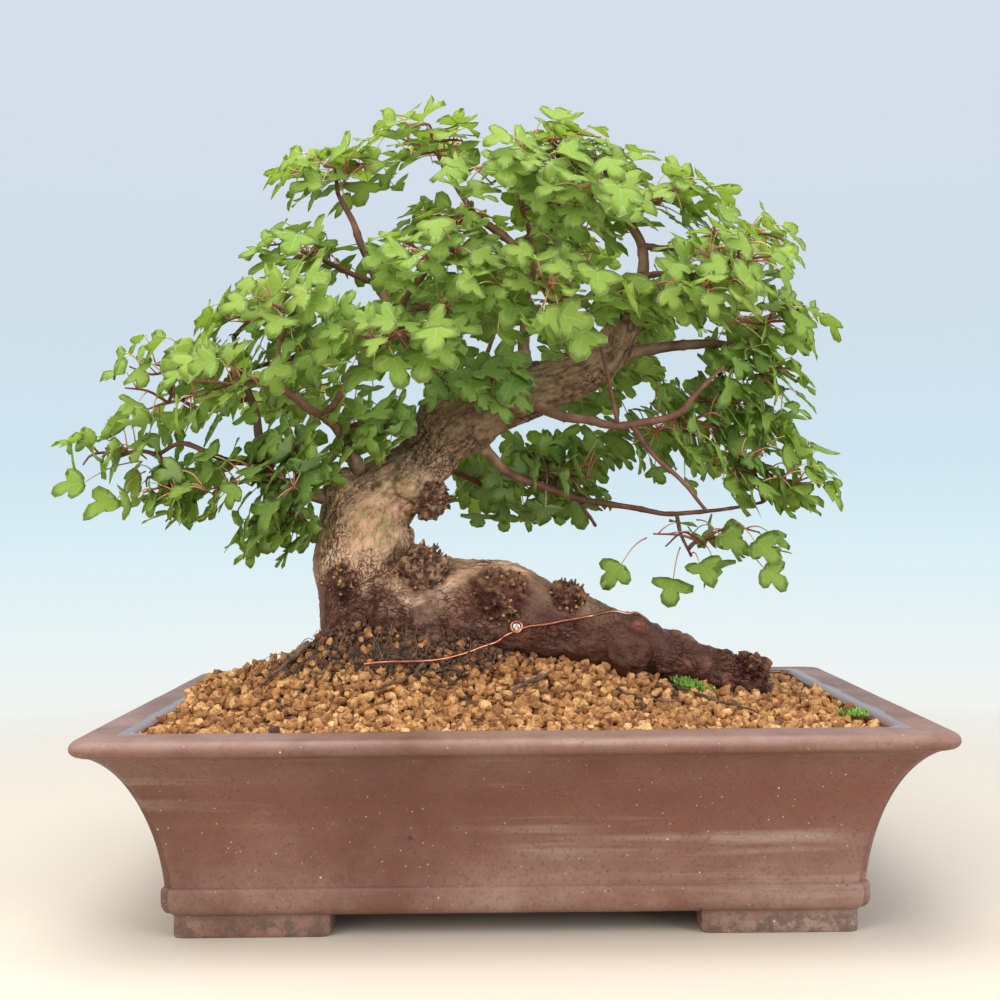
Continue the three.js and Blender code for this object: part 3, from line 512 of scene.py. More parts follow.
trunk_line = raised([[-84, 20, -14, 33], [-87, 20, 22, 32], [-90, 18, 58, 28.5], [-92, 15, 90, 31],
                     [-86, 12, 118, 26], [-58, 10, 141, 18.5], [-34, 8, 168, 22.5], [4, 5, 184, 18],
                     [41, 2, 196, 13.5], [62, 0, 209, 10.5], [73, 0, 232, 8]])
root_line = raised([[-78, 10, 50, 33], [-45, 8, 56, 30], [-8, 6, 52, 28.5], [29, 4, 40, 24], [65, 2, 31, 21],
                    [102, 2, 20, 16.5], [128, 4, 13, 13.5], [148, 6, 6, 11], [160, 8, -8, 7]])
flare_lines = [raised(line) for line in [
    [[-100, 18, 36, 19], [-122, 20, 16, 11], [-142, 24, -2, 6]],
    [[-84, 36, 34, 22], [-76, 68, 14, 14], [-66, 94, -6, 7]],
    [[-94, 2, 36, 20], [-106, -20, 14, 12], [-118, -42, -6, 6]],
    [[-50, 0, 40, 20], [-42, -22, 18, 12], [-36, -40, -6, 7]]]]
burls = raised([[-53, -14, 80, 13], [-7, -17, 63, 14], [34, -8, 60, 9], [-103, -13, 72, 8], [-97, 8, 124, 17],
                [-62, -4, 131, 10], [-48, 0, 121, 10], [148, 0, 18, 10], [-72, -10, 52, 16],
                [70, -12, 26, 15]])


def ball(centre, radius, sides=24):
    """A round body: rings from pole to pole at the sine and cosine of the latitude."""
    height = np.linspace(-1, 1, sides // 2 + 1)[1:-1] * math.pi / 2
    around = np.linspace(0, 2 * math.pi, sides, endpoint=False)
    rings = np.stack([np.outer(np.cos(height), np.cos(around)), np.outer(np.cos(height), np.sin(around)),
                      np.outer(np.sin(height), np.ones(sides))], axis=2)
    points = np.concatenate([rings.reshape(-1, 3), [[0, 0, -1], [0, 0, 1]]]) * radius + centre
    quads, tris = tube_faces(len(height), sides)
    return points, quads, tris


wood_bodies = [sweep(smooth_line(line, 4), 40) for line in (trunk_line, root_line, *flare_lines)]
wood_bodies += [ball(burl[:3], burl[3]) for burl in burls]
trunk = mesh_piece("trunk_and_surface_root", *stacked(wood_bodies))
remesh = trunk.modifiers.new("one_skin", "REMESH")
remesh.mode = "VOXEL"
remesh.voxel_size = 0.00132
apply_modifiers(trunk)


def unit(vectors):
    return vectors / np.maximum(np.linalg.norm(vectors, axis=-1, keepdims=True), 1e-9)


def normals_of(piece):
    flat = np.empty(len(piece.data.vertices) * 3, np.float32)
    piece.data.vertex_normals.foreach_get("vector", flat)
    return flat.reshape(-1, 3).astype(float)


def set_points(piece, points):
    piece.data.vertices.foreach_set("co", in_frame(points).astype(np.float32).ravel())
    piece.data.update()


def along_wood(points, line):
    """For each point, from the nearest place on a line: the two offsets across it, the distance along it, and
    how far the point is from the line as a share of its radius there."""
    ahead, across, over = frames_along(line)
    length = np.concatenate([[0], np.cumsum(np.linalg.norm(np.diff(line[:, :3], axis=0), axis=1))])
    share = np.full(len(points), np.inf)
    local = np.zeros((len(points), 3))
    for i in range(len(line)):
        offset = points - line[i, :3]
        near = np.linalg.norm(offset, axis=1) / line[i, 3]
        closer = near < share
        share[closer] = near[closer]
        local[closer] = np.stack([offset @ across[i], offset @ over[i], length[i] + offset @ ahead[i]],
                                 axis=1)[closer]
    return local, share


wood_points = points_of(trunk)
wood_normals = normals_of(trunk)
trunk_local, trunk_share = along_wood(wood_points, smooth_line(trunk_line, 5))
root_local, root_share = along_wood(wood_points, smooth_line(root_line, 5))
rooty = blend(-0.12, 0.12, trunk_share - root_share)
# Bark runs with the wood: its noise is stretched along whichever line is nearer.
grain = np.where(rooty[:, None] > 0.5, root_local + [400, 0, 0], trunk_local)
swelling = layered_noise(wood_points / 30, 2, 11) * 2.4 + layered_noise(grain / [10, 10, 24], 2, 12) * 1.1
crease = np.clip(1 - np.abs(layered_noise(grain / [8, 8, 17], 3, 21)) * 3.2, 0, 1) ** 2
height = wood_points[:, 2] - rim
furrow = crease * np.clip(0.25 + blend(110, 150, height) + 0.9 * value_noise(wood_points / 28, 22), 0, 1)
pits = np.clip(layered_noise(wood_points / 5.5, 2, 33) - 0.45, 0, 1)
burl_share = np.zeros(len(wood_points))
for x, y, z, radius in burls[[0, 1, 2, 3, 6, 7]]:
    near = 1 - np.linalg.norm(wood_points - [x, y, z], axis=1) / (radius * 1.5)
    burl_share = np.maximum(burl_share, np.clip(near * 3.2, 0, 1))
knobs = np.clip(layered_noise(wood_points / 4.2, 2, 41), -0.2, 1)
depth = swelling - furrow * (1.7 - 0.6 * rooty) - pits * 1.4 + knobs * burl_share * 4.2
depth += layered_noise(wood_points / 2.9, 2, 55) * (0.55 + 0.3 * blend(60, 130, wood_points[:, 0]))
scarred = blend(10, 50, wood_points[:, 0]) * rooty
dents = np.clip(value_noise(wood_points / 6, 58) - 0.3, 0, 1)
depth += (layered_noise(wood_points / 9, 3, 57) * 2.3 - dents * 3) * scarred
set_points(trunk, wood_points + wood_normals * depth[:, None])


def tint(text):
    return np.array(colour(text)[:3])


patches = layered_noise(wood_points / 22, 3, 61)
fine = layered_noise(wood_points / 5, 3, 62)
# Painted shade: the upper trunk, under the crown, is painted darker olive.
upper = blend(112, 160, height)
red_low = blend(77, 60, height + 9 * patches + 7 * fine) * blend(-126, -112, wood_points[:, 0])
wet_root = blend(-8, 26, wood_points[:, 0] + 0.5 * (50 - height)) * blend(0.3, 0.8, rooty)
top_of_root = wet_root * blend(0.3, 0.8, wood_normals[:, 2]) * blend(78, 30, wood_points[:, 0])
lichen = blend(42, 14, np.linalg.norm(wood_points - [-74, -16, rim + 116], axis=1)) * blend(-0.2, 0.4, fine)
rough_burl = burl_share * blend(-0.2, 0.4, layered_noise(wood_points / 3, 2, 63))
foot_dirt = np.maximum(blend(34, 18, height + 8 * fine) * blend(60, 20, wood_points[:, 0]),
                       blend(-112, -122, wood_points[:, 0] + 4 * fine) * blend(62, 48, height))
crack = np.clip(furrow * 1.1 + pits * 1.2, 0, 1)
bark_paint = tint("#cda585")
# Each colour goes over the ones before by its own share: patches, painted shade on the upper trunk under the
# crown, the red stain with paler patches of painted highlight, the wet root with paler patches of painted
# highlight, lichen, burls, dirt at the foot and dark fissures.
for share, text in [(blend(-0.2, 0.7, patches) * 0.7, "#ddbd9d"),
                    (blend(0.0, 0.9, -patches) * 0.6, "#b38a6a"),
                    # Painted shade under the crown: darker olive, with lighter spots in it.
                    (upper * 0.85, "#6f5b3e"), (upper * blend(0.0, 0.7, fine) * 0.45, "#948055"),
                    (red_low * (0.78 + 0.2 * blend(-0.4, 0.5, fine)), "#4a1b0e"),
                    # Paler patches in the red stain: painted highlight.
                    (red_low * blend(0.25, 0.75, layered_noise(wood_points / 12, 2, 66)) * 0.45, "#84503a"),
                    (wet_root * 0.94, "#4d291c"),
                    # Paler patches on the wet root: painted highlight.
                    (wet_root * blend(0.1, 0.7, patches + 0.4 * fine) * 0.55, "#9a6046"),
                    (top_of_root * 0.75, "#a98c6c"), (lichen * 0.55, "#8c8a48"),
                    (np.clip(burl_share * 0.5 + rough_burl * 0.5, 0, 0.95), "#4a2518"),
                    (burl_share * blend(0.25, 0.6, knobs) * 0.4, "#a87b4a"), (foot_dirt * 0.8, "#3b2a20"),
                    (crack * (0.6 - 0.25 * wet_root), "#4b3522")]:
    bark_paint = bark_paint * (1 - share[:, None]) + tint(text) * share[:, None]
give_attribute(trunk, "bark_paint", bark_paint, "FLOAT_COLOR")
give_attribute(trunk, "wetness", np.clip(wet_root * 0.9 + red_low * 0.4, 0, 1))
for axis, name in enumerate(("grain_a", "grain_b", "grain_along")):
    give_attribute(trunk, name, grain[:, axis] * 0.001)

# Maple bark: corky and dry with fine lengthwise fissures. Where it is wet it is darker and shines.
bark, bark_shader = material("maple_bark")
paint = node(bark, "paint", attribute_name="bark_paint")
wet = node(bark, "attribute", attribute_name="wetness")
grain_axes = [node(bark, "attribute", attribute_name=n) for n in ("grain_a", "grain_b", "grain_along")]
with_grain = node(bark, "vector", *grain_axes)
where = node(bark, "place")
fissures = node(bark, "noise", node(bark, "scaled", with_grain, (1, 1, 1 / 2.6)), 500 / 1.7, 5, 0.7)
flakes = node(bark, "noise", where, 500 / 1.4, 4, 0.7)
warp = node(bark, "colour_noise", with_grain, 180.0, 3.0)
warped = node(bark, "shifted", warp, (0.008, 0.008, 0.008), node(bark, "scaled", with_grain, (1, 1, 0.6)))
plates = node(bark, "cells", warped, 300.0, feature="DISTANCE_TO_EDGE")
crack_zone = node(bark, "ramp", node(bark, "noise", where, 500 / 22, 4, 0.65), (0.46, 0.0), (0.58, 0.95))
cracks = node(bark, "MULTIPLY", node(bark, "ramp", plates, (0.0, 0.9), (0.09, 0.0)), crack_zone)
fibre = node(bark, "mix", node(bark, "ramp", fissures, (0.36, 0.85), (0.53, 0.0)), paint,
             node(bark, "mix", 1.0, paint, (0.36, 0.31, 0.27, 1), blend_type="MULTIPLY"))
fibre = node(bark, "mix", node(bark, "ramp", fissures, (0.56, 0.0), (0.74, 0.3)), fibre,
             node(bark, "mix", 0.7, paint, "#d6bd9b"))
fibre = node(bark, "mix", node(bark, "ramp", flakes, (0.55, 0.0), (0.66, 0.5)), fibre,
             node(bark, "mix", 1.0, paint, (1.45, 1.42, 1.36, 1), blend_type="MULTIPLY"))
in_cracks = node(bark, "mix", 1.0, paint, (0.16, 0.12, 0.09, 1), blend_type="MULTIPLY")
fibre = node(bark, "mix", cracks, fibre, in_cracks)
fibre = node(bark, "mix", node(bark, "MULTIPLY", wet, 0.8), fibre, paint)
dry_rough = node(bark, "ramp", flakes, (0.3, 0.78), (0.7, 0.92))
bark_height = node(bark, "SUBTRACT", node(bark, "ADD", fissures, node(bark, "MULTIPLY", flakes, 0.6)), cracks)
bark_bump = node(bark, "bump", 1.0, 0.0016, bark_height)
feed(bark_shader, {"Base Color": fibre, "Roughness": node(bark, "mix", wet, dry_rough, (0.24, 0.24, 0.24, 1)),
                   "Normal": bark_bump, "Specular IOR Level": 0.32})
trunk.data.materials.clear()
trunk.data.materials.append(bark)
trunk.data.polygons.foreach_set("use_smooth", np.ones(len(trunk.data.polygons), bool))
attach(trunk, "root")
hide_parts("trunk")


def surface_of(*pieces):
    """A search tree of the pieces' surfaces, in metres."""
    points, faces, start = [], [], 0
    for piece in pieces:
        points += [v.co for v in piece.data.vertices]
        faces += [[start + i for i in p.vertices] for p in piece.data.polygons]
        start += len(piece.data.vertices)
    return BVHTree.FromPolygons(points, faces)


trunk_surface = surface_of(trunk)

# Blunt buds crowd on the burls: short stubs, red-brown at the foot and straw-coloured at the tip.
bud_random = np.random.default_rng(12)
buds, bud_tips = [], []
for x, y, z, radius in burls[[0, 1, 2, 3, 6]]:
    for way in unit(bud_random.normal(size=(60, 3)) + [0.1, -0.6, 0.35]):
        place, normal, _, _ = trunk_surface.find_nearest(
            Vector(in_frame(np.array([x, y, z]) + way * radius * 1.15)))
        out = unit(np.array(normal) * 0.7 + way * 0.4 + bud_random.normal(0, 0.45, 3) + [0, 0, 0.3])
        foot = points_round_pot(place) - out * 0.8
        long, thick = bud_random.uniform(1.2, 5.0), bud_random.uniform(0.4, 1.25)
        line = foot + np.outer([0, 0.5, 0.85, 1], out * long)
        buds.append(sweep(np.column_stack([line, np.array([1.3, 1.0, 0.8, 0.62]) * thick]), 6))
        bud_tips.append(np.append(np.repeat([0, 0.45, 0.9, 1.0], 6), [0, 1.0]) * bud_random.uniform(0.2, 1.0))
burl_buds = mesh_piece("burl_buds", *stacked(buds), smooth_angle=35)
give_attribute(burl_buds, "tip", np.concatenate(bud_tips))

# Bud scales and cut stubs: dry, rough and corky.
bud_bark, bud_shader = material("corky_burl_bark")
where = node(bud_bark, "place")
tip_share = node(bud_bark, "attribute", attribute_name="tip")
bud_tint = node(bud_bark, "ramp", tip_share, (0.0, "#3a2018"), (0.4, "#5f3826"), (0.7, "#9a6e3f"),
                (1.0, "#cba36b"))
bud_spots = node(bud_bark, "ramp", node(bud_bark, "noise", where, 500 / 1.2, 3, 0.7), (0.36, 0.6), (0.5, 0.0))
bud_tint = node(bud_bark, "mix", bud_spots, bud_tint, "#3a2016")
feed(bud_shader, {"Base Color": bud_tint, "Roughness": 0.8})
burl_buds.data.materials.append(bud_bark)
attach(burl_buds, "root")

# ---- branches ----
# The main limbs, grown from the trunk and shaped by pruning. Young bark is smooth and red-brown, with
# a swollen ring at each old pair of buds.
limbs = {
    "branch_left": [
        [[-104, 8, 120, 9], [-130, 0, 127, 6.4], [-146, -6, 138, 5.4], [-151, -8, 152, 4.8],
         [-154, -8, 172, 4.2], [-162, -6, 196, 3.4], [-168, -4, 222, 2.6]],
        [[-149, -7, 146, 4], [-172, -12, 146, 3], [-198, -12, 156, 2.4], [-214, -8, 150, 1.8]],
        [[-158, -7, 184, 3], [-182, -16, 176, 2.2], [-204, -20, 186, 1.6]],
    ],
    "branch_left_back": [
        [[-98, 22, 124, 8], [-122, 42, 142, 5], [-142, 66, 160, 4], [-150, 88, 180, 2.4]],
        [[-122, 42, 142, 4], [-108, 72, 160, 3], [-96, 96, 186, 2]],
    ],
    "branch_shoulder": [
        [[-92, 4, 138, 8], [-100, -14, 160, 5.6], [-111, -28, 171, 4.6], [-122, -42, 178, 4],
         [-134, -60, 188, 3], [-128, -78, 210, 2]],
        [[-111, -28, 171, 4], [-92, -52, 190, 3], [-74, -74, 206, 2]],
    ],
    "branch_upper_left": [
        [[-40, 8, 174, 9], [-56, 6, 208, 6.4], [-68, 4, 227, 5.6], [-77, 2, 246, 5], [-84, 0, 263, 4.4],
         [-95, 0, 291, 3.4], [-104, 0, 310, 2.2]],
        [[-68, 4, 227, 4], [-60, -34, 240, 3], [-46, -70, 250, 2]],
        [[-80, 1, 254, 3.4], [-104, -22, 262, 2.6], [-122, -40, 268, 1.8]],
    ],
    "branch_upper_centre": [
        [[16, 5, 184, 9], [9, 2, 220, 6.2], [12, 0, 250, 5.2], [4, 0, 277, 4.4], [-20, 0, 297, 3.4],
         [-38, 0, 324, 2]],
        [[11, 1, 244, 4], [16, -38, 262, 3], [8, -72, 284, 2]],
        [[5, 0, 274, 3.4], [24, 12, 300, 2.6], [30, 14, 322, 1.8]],
    ],
    "branch_back_left": [
        [[-24, 14, 168, 9], [-36, 48, 194, 5.6], [-54, 78, 214, 4.2], [-76, 94, 230, 2.4]],
        [[-36, 48, 194, 4], [-18, 78, 212, 3], [-8, 104, 240, 2]],
    ],
    "branch_back_right": [
        [[34, 8, 192, 9], [50, 42, 210, 5.8], [68, 70, 226, 4.4], [92, 88, 236, 2.6]],
        [[50, 42, 210, 4], [36, 76, 246, 3], [22, 100, 272, 2]],
    ],
    "branch_upper_right": [
        [[73, 0, 226, 7.6], [82, 0, 256, 6.4], [81, 0, 280, 5], [72, 0, 298, 3.8], [64, -2, 314, 2.4]],
        [[81, 0, 276, 4], [112, -2, 274, 3], [138, -4, 268, 2.4], [156, -4, 262, 1.6]],
        [[82, 0, 258, 4], [90, -38, 252, 3], [104, -62, 246, 2]],
    ],
    "branch_right": [
        [[62, 2, 208, 8], [94, 6, 214, 5.6], [124, 4, 216, 4.6], [150, 2, 210, 3.2], [168, 0, 196, 2]],
        [[124, 4, 216, 3.6], [136, 36, 190, 2.8], [128, 66, 164, 2]],
    ],
    "branch_right_front": [
        [[12, -2, 182, 7], [30, -16, 172, 4.8], [46, -24, 167, 4.4], [64, -32, 164, 4], [80, -38, 165, 3.6],
         [98, -44, 169, 3.4], [106, -48, 177, 2.8], [114, -52, 186, 2.2], [124, -54, 196, 1.6]],
        [[72, -35, 164, 3], [86, -36, 145, 2.5], [101, -34, 130, 2.1], [117, -30, 112, 1.6]],
        [[64, -32, 165, 2.4], [58, -46, 190, 1.9], [50, -66, 214, 1.5]],
    ],
    "branch_right_low": [
        [[-22, 14, 158, 8], [-3, 28, 140, 4.8], [16, 36, 131, 4.3], [43, 40, 122, 3.7], [65, 38, 117, 3.3],
         [87, 30, 113, 2.9], [105, 24, 111, 2.5], [140, 16, 114, 1.8], [158, 12, 118, 1.4]],
        [[105, 24, 111, 2.3], [108, 24, 98, 1.8], [114, 20, 84, 1.4]],
        [[43, 40, 122, 2.8], [50, 62, 114, 2.4], [58, 84, 104, 1.8]],
    ],
    "branch_behind_crook": [
        [[-52, 22, 138, 7], [-44, 50, 142, 4], [-26, 74, 136, 3], [-2, 88, 120, 2]],
    ],
}
random = np.random.default_rng(7)
TWIG_STEP = 2.2


def twig_body(line, sides):
    """A twig: a tube that wanders a little, with a swollen ring about every 20 mm where buds were."""
    line = smooth_line(line, TWIG_STEP)
    length = np.concatenate([[0], np.cumsum(np.linalg.norm(np.diff(line[:, :3], axis=0), axis=1))])
    sway = np.stack([value_noise(line[:, :3] / 16, s) for s in (3, 4, 5)], axis=1)
    line[:, :3] += sway * np.minimum(line[:, 3:4] * 0.55, 1.8) * blend(0, 12, length)[:, None]
    ring = np.exp(-(((length % 19) - 9.5) / 1.5) ** 2)
    line[:, 3] *= 1 + 0.2 * ring + 0.05 * value_noise(line[:, :3] / 5, 9)
    angle = np.linspace(0, 2 * math.pi, sides, endpoint=False)
    lumps = value_noise(
        np.stack(np.broadcast_arrays(length[:, None] / 7, np.cos(angle)[None], np.sin(angle)[None]),
                 axis=2).reshape(-1, 3), 14).reshape(len(line), sides)
    return sweep(line, sides, 1 + 0.09 * lumps)


# Young maple bark: thin and slightly glossy, red-brown, grey-brown on the older wood.
twig_bark, twig_shader = material("young_maple_bark")
where = node(twig_bark, "place")
age = node(twig_bark, "attribute", attribute_name="age")
young = node(twig_bark, "ramp", node(twig_bark, "noise", where, 500 / 7, 4, 0.55), (0.3, "#4a2b20"),
             (0.55, "#6d4431"), (0.75, "#8d6350"))
old = node(twig_bark, "ramp", node(twig_bark, "noise", where, 500 / 5, 5, 0.65), (0.3, "#4f3d2b"),
           (0.52, "#86694c"), (0.75, "#ad8f6c"))
twig_bump = node(twig_bark, "bump", 0.5, 0.0006, node(twig_bark, "noise", where, 500 / 1.6, 4, 0.65))
feed(twig_shader, {"Base Color": node(twig_bark, "mix", age, young, old), "Roughness": 0.62,
                   "Normal": twig_bump})

twigs = []
for name, lines in limbs.items():
    lines = [raised(line) * [1, 1, 1, 0.6] for line in lines]
    bodies, ages = [], []
    for line in lines:
        sides = 14 if line[0, 3] > 3 else 10
        bodies.append(twig_body(line, sides))
        radii = np.append(np.repeat(smooth_line(line, TWIG_STEP)[:, 3], sides), [line[0, 3], line[-1, 3]])
        ages.append(blend(1.8, 4.2, radii))
    limb = mesh_piece(name.replace("branch", "limb"), *stacked(bodies))
    give_attribute(limb, "age", np.concatenate(ages))
    limb.data.materials.append(twig_bark)
    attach(limb, "root")
    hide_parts(name)
    twigs += [smooth_line(line, 4)[3:] for line in lines]
twig_places = np.concatenate(twigs)

# ---- leaf sprays ----
# This year's shoots: pairs of three-lobed leaves on long thin stalks, which are red near the shoot and
# yellow-green near the leaf. The blade is thin, cupped along its veins, and paler below.
LEAF_LENGTH = 19.0
LEAF_SPACING = 8.6
half_outline = [(-0.04, 0.15), (0.04, 0.4), (0.21, 0.61), (0.41, 0.62), (0.51, 0.44), (0.48, 0.23),
                (0.69, 0.29), (0.9, 0.21)]
outline = np.array([(0, 0), *half_outline, (1, 0), *[(x, -y) for x, y in half_outline[::-1]]])
RIM = len(outline)
blade_middle = np.array([0.3, 0.0])
inner_ring = blade_middle + (outline - blade_middle) * 0.55
blade_plan = np.concatenate([outline, inner_ring, [blade_middle], inner_ring, [blade_middle]])
blade_rim = np.concatenate([np.ones(RIM), np.full(RIM, 0.55), [0], np.full(RIM, 0.55), [0]])
blade_side = np.concatenate([np.full(2 * RIM + 1, 1.0), np.full(RIM + 1, -1.0)])
BLADE_POINTS = len(blade_plan)
here = np.arange(RIM)
after = (here + 1) % RIM
blade_quads = np.concatenate([np.stack([here, after, RIM + after, RIM + here], axis=1)[:, ::-1],
                              np.stack([here, after, 2 * RIM + 1 + after, 2 * RIM + 1 + here], axis=1)])
blade_tris = np.concatenate([np.stack([np.full(RIM, 2 * RIM), RIM + after, RIM + here], axis=1),
                             np.stack([np.full(RIM, 3 * RIM + 1), 2 * RIM + 1 + here, 2 * RIM + 1 + after],
                                      axis=1)])
crown_middle = np.array([-20.0, 5.0, rim + 165])


def leaf_blades(base, along, facing, size, shape):
    """The blades of many leaves. In the leaf's own plan x runs from the stalk to the tip and y across. Its
    height is a fold that rises with distance from the midrib, a droop with the square of x, a curl with the
    square of y and a low wave round the rim, each by the leaf's own numbers in shape."""
    x, y = blade_plan[:, 0][None], blade_plan[:, 1][None]
    fold, droop, curl, wave, phase = (shape[:, i : i + 1] for i in range(5))
    z = fold * np.abs(y) - droop * x**2 + curl * y**2 + wave * blade_rim * np.sin(7 * x + 9 * y + phase)
    z = z + blade_side * (1 - blade_rim) * 0.012
    across = unit(np.cross(facing, along))
    local = np.stack(np.broadcast_arrays(x, y, z), axis=2) * size[:, None, None]
    return (base[:, None] + local[:, :, :1] * along[:, None] + local[:, :, 1:2] * across[:, None]
            + local[:, :, 2:] * facing[:, None])


def stalk_line(start, end, rise, radius):
    """A leaf stalk: it leaves the shoot steeply and arches over to the blade."""
    t = np.linspace(0, 1, 6)[:, None]
    way = start * (1 - t) + end * t + np.array([0, 0, 1]) * rise * np.sin(math.pi * t)
    return np.column_stack([way, radius * (1.25 - 0.45 * t)])


# Maple leaf: thin, soft and matt with a faint wax sheen. Light comes through it, and the veins are paler than
# the blade. The thin rim is painted paler as a highlight, and blades deep in the crown are painted darker as
# shade.
leaf_green, leaf_shader = material("maple_leaf")
plan = node(leaf_green, "uv", uv_map="blade")
tone = node(leaf_green, "attribute", attribute_name="tone")
rim_highlight_share = node(leaf_green, "attribute", attribute_name="rim")
below = node(leaf_green, "attribute", attribute_name="underside")


def vein(angle):
    """How near a place is to the vein that leaves the stalk at an angle: 1 on it, 0 beside it."""
    turned = node(leaf_green, "turned", plan, -angle)
    along_vein = node(leaf_green, "axis_x", turned)
    off = node(leaf_green, "ABSOLUTE", node(leaf_green, "axis_y", turned))
    width = node(leaf_green, "SUBTRACT", 0.026, node(leaf_green, "MULTIPLY", along_vein, 0.018))
    close = node(leaf_green, "SUBTRACT", 1.0, node(leaf_green, "DIVIDE", off, width), use_clamp=True)
    return node(leaf_green, "MULTIPLY", close, node(leaf_green, "GREATER_THAN", along_vein, 0.0))


veins = node(leaf_green, "MAXIMUM", vein(0.0), node(leaf_green, "MAXIMUM", vein(1.02), vein(-1.02)))
side_wave = node(leaf_green, "waves", plan, 2.6, 1.2, 1.0)
side_veins = node(leaf_green, "ramp", side_wave, (0.9, 0.0), (1.0, 0.3))
# Low tones, on blades deep in the crown, are the darker greens: painted shade.
leaf_top = node(leaf_green, "ramp", tone, (0.0, "#86ab58"), (0.35, "#98b85a"), (0.7, "#a0bb59"),
                (1.0, "#adc163"))
leaf_top = node(leaf_green, "mix", side_veins, leaf_top, "#b7cb80")
leaf_under = node(leaf_green, "ramp", tone, (0.0, "#9dbd86"), (1.0, "#b9cd8e"))
leaf_tint = node(leaf_green, "mix", below, leaf_top, leaf_under)
leaf_tint = node(leaf_green, "mix", node(leaf_green, "MULTIPLY", veins, 0.6), leaf_tint, "#d3dfaa")
# Painted highlight: the leaf's thin rim is painted paler.
leaf_tint = node(leaf_green, "mix", node(leaf_green, "ramp", rim_highlight_share, (0.94, 0.0), (1.0, 0.7)), leaf_tint,
                 "#e2eac4")
through = node(leaf_green, "translucent", node(leaf_green, "mix", 0.5, leaf_tint, "#e0ec7a"))
leaf_mix = node(leaf_green, "two_shaders", 0.6, leaf_shader.outputs[0], through)
feed(leaf_green.node_tree.nodes["Material Output"], {"Surface": leaf_mix})
leaf_bump = node(leaf_green, "bump", 0.4, 0.0005, node(leaf_green, "ADD", veins, side_veins))
feed(leaf_shader, {"Base Color": leaf_tint, "Roughness": 0.58, "Specular IOR Level": 0.3, "IOR": 1.42,
                   "Normal": leaf_bump})

# Leaf stalks: thin and smooth, red to yellow-green along their length.
stalk_skin, stalk_shader = material("leaf_stalk")
flush = node(stalk_skin, "attribute", attribute_name="tone")
stalk_tint = node(stalk_skin, "ramp", flush, (0.0, "#5e3a26"), (0.2, "#b0604e"), (0.6, "#c98f6a"),
                  (1.0, "#b3bd68"))
feed(stalk_shader, {"Base Color": stalk_tint, "Roughness": 0.45})


leaf_places = np.full((1, 3), 1e6)
# Sprays that are fuller or sparser than the rest: the half-sizes of their space, and their leaves.
own_way = {1: ((34, 26, 24), 14), 2: ((44, 40, 30), 25), 3: ((42, 44, 22), 25), 5: ((54, 34, 28), 34),
           6: ((52, 45, 32), 38), 22: ((43, 44, 24), 24), 23: ((39, 36, 24), 26), 26: ((52, 42, 30), 46),
           18: ((44, 42, 32), 52), 19: ((42, 34, 30), 32), 20: ((50, 16, 22), 9), 21: ((56, 42, 34), 46),
           36: ((62, 32, 32), 50), 37: ((62, 32, 32), 60), 38: ((62, 32, 32), 52)}
# Shoots between the sprays, low in the crown: the middle of their space over the lip, its half-sizes and its
# leaves.
between = [((-84, -24, 164), (30, 20, 20), 26), ((-132, -16, 147), (34, 26, 22), 34),
           ((-146, -6, 106), (28, 24, 22), 24), ((-206, -8, 130), (32, 24, 24), 26),
           ((108, -22, 160), (36, 24, 26), 30), ((146, -6, 142), (34, 26, 30), 22),
           ((34, 50, 138), (44, 24, 28), 44), ((150, -20, 190), (34, 26, 26), 26),
           ((-20, -40, 190), (34, 20, 18), 22)]


def leaf_piece(name, stems, flush, bases, along, facing, size, light):
    """A piece of shoots, stalks and blades. flush reddens a stalk; light is each blade's tone and painted
    shade.
    """
    count = len(bases)
    shape = random.uniform([0.0, 0.02, -0.22, 0.02, 0], [0.36, 0.34, 0.3, 0.06, 6.3], (count, 5))
    blades = leaf_blades(bases, along, facing, size, shape)
    stem_points, stem_quads, stem_tris = stacked(stems)
    first = len(stem_points) + np.arange(count)[:, None, None] * BLADE_POINTS
    quads = np.concatenate([stem_quads, (blade_quads[None] + first).reshape(-1, 4)])
    tris = np.concatenate([stem_tris, (blade_tris[None] + first).reshape(-1, 3)])
    piece = mesh_piece(name, np.concatenate([stem_points, blades.reshape(-1, 3)]), quads, tris)
    on_stems = np.zeros(len(stem_points))
    give_attribute(piece, "tone", np.concatenate([*flush, np.repeat(light, BLADE_POINTS)]))
    give_attribute(piece, "rim", np.concatenate([on_stems, np.tile(blade_rim, count)]))
    give_attribute(piece, "underside", np.concatenate([on_stems, np.tile(blade_side < 0, count)]))
    corner_vertex = np.empty(len(piece.data.loops), np.int32)
    piece.data.loops.foreach_get("vertex_index", corner_vertex)
    uv = np.concatenate([np.zeros((len(stem_points), 2)), np.tile(blade_plan, (count, 1))])[corner_vertex]
    piece.data.uv_layers.new(name="blade").data.foreach_set("uv", uv.astype(np.float32).ravel())
    is_blade = np.concatenate([np.arange(len(quads)) >= len(stem_quads),
                               np.arange(len(tris)) >= len(stem_tris)])
    piece.data.materials.append(leaf_green)
    piece.data.materials.append(stalk_skin)
    piece.data.polygons.foreach_set("material_index", np.where(is_blade, 0, 1).astype(np.int32))
    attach(piece, "root")
    return piece


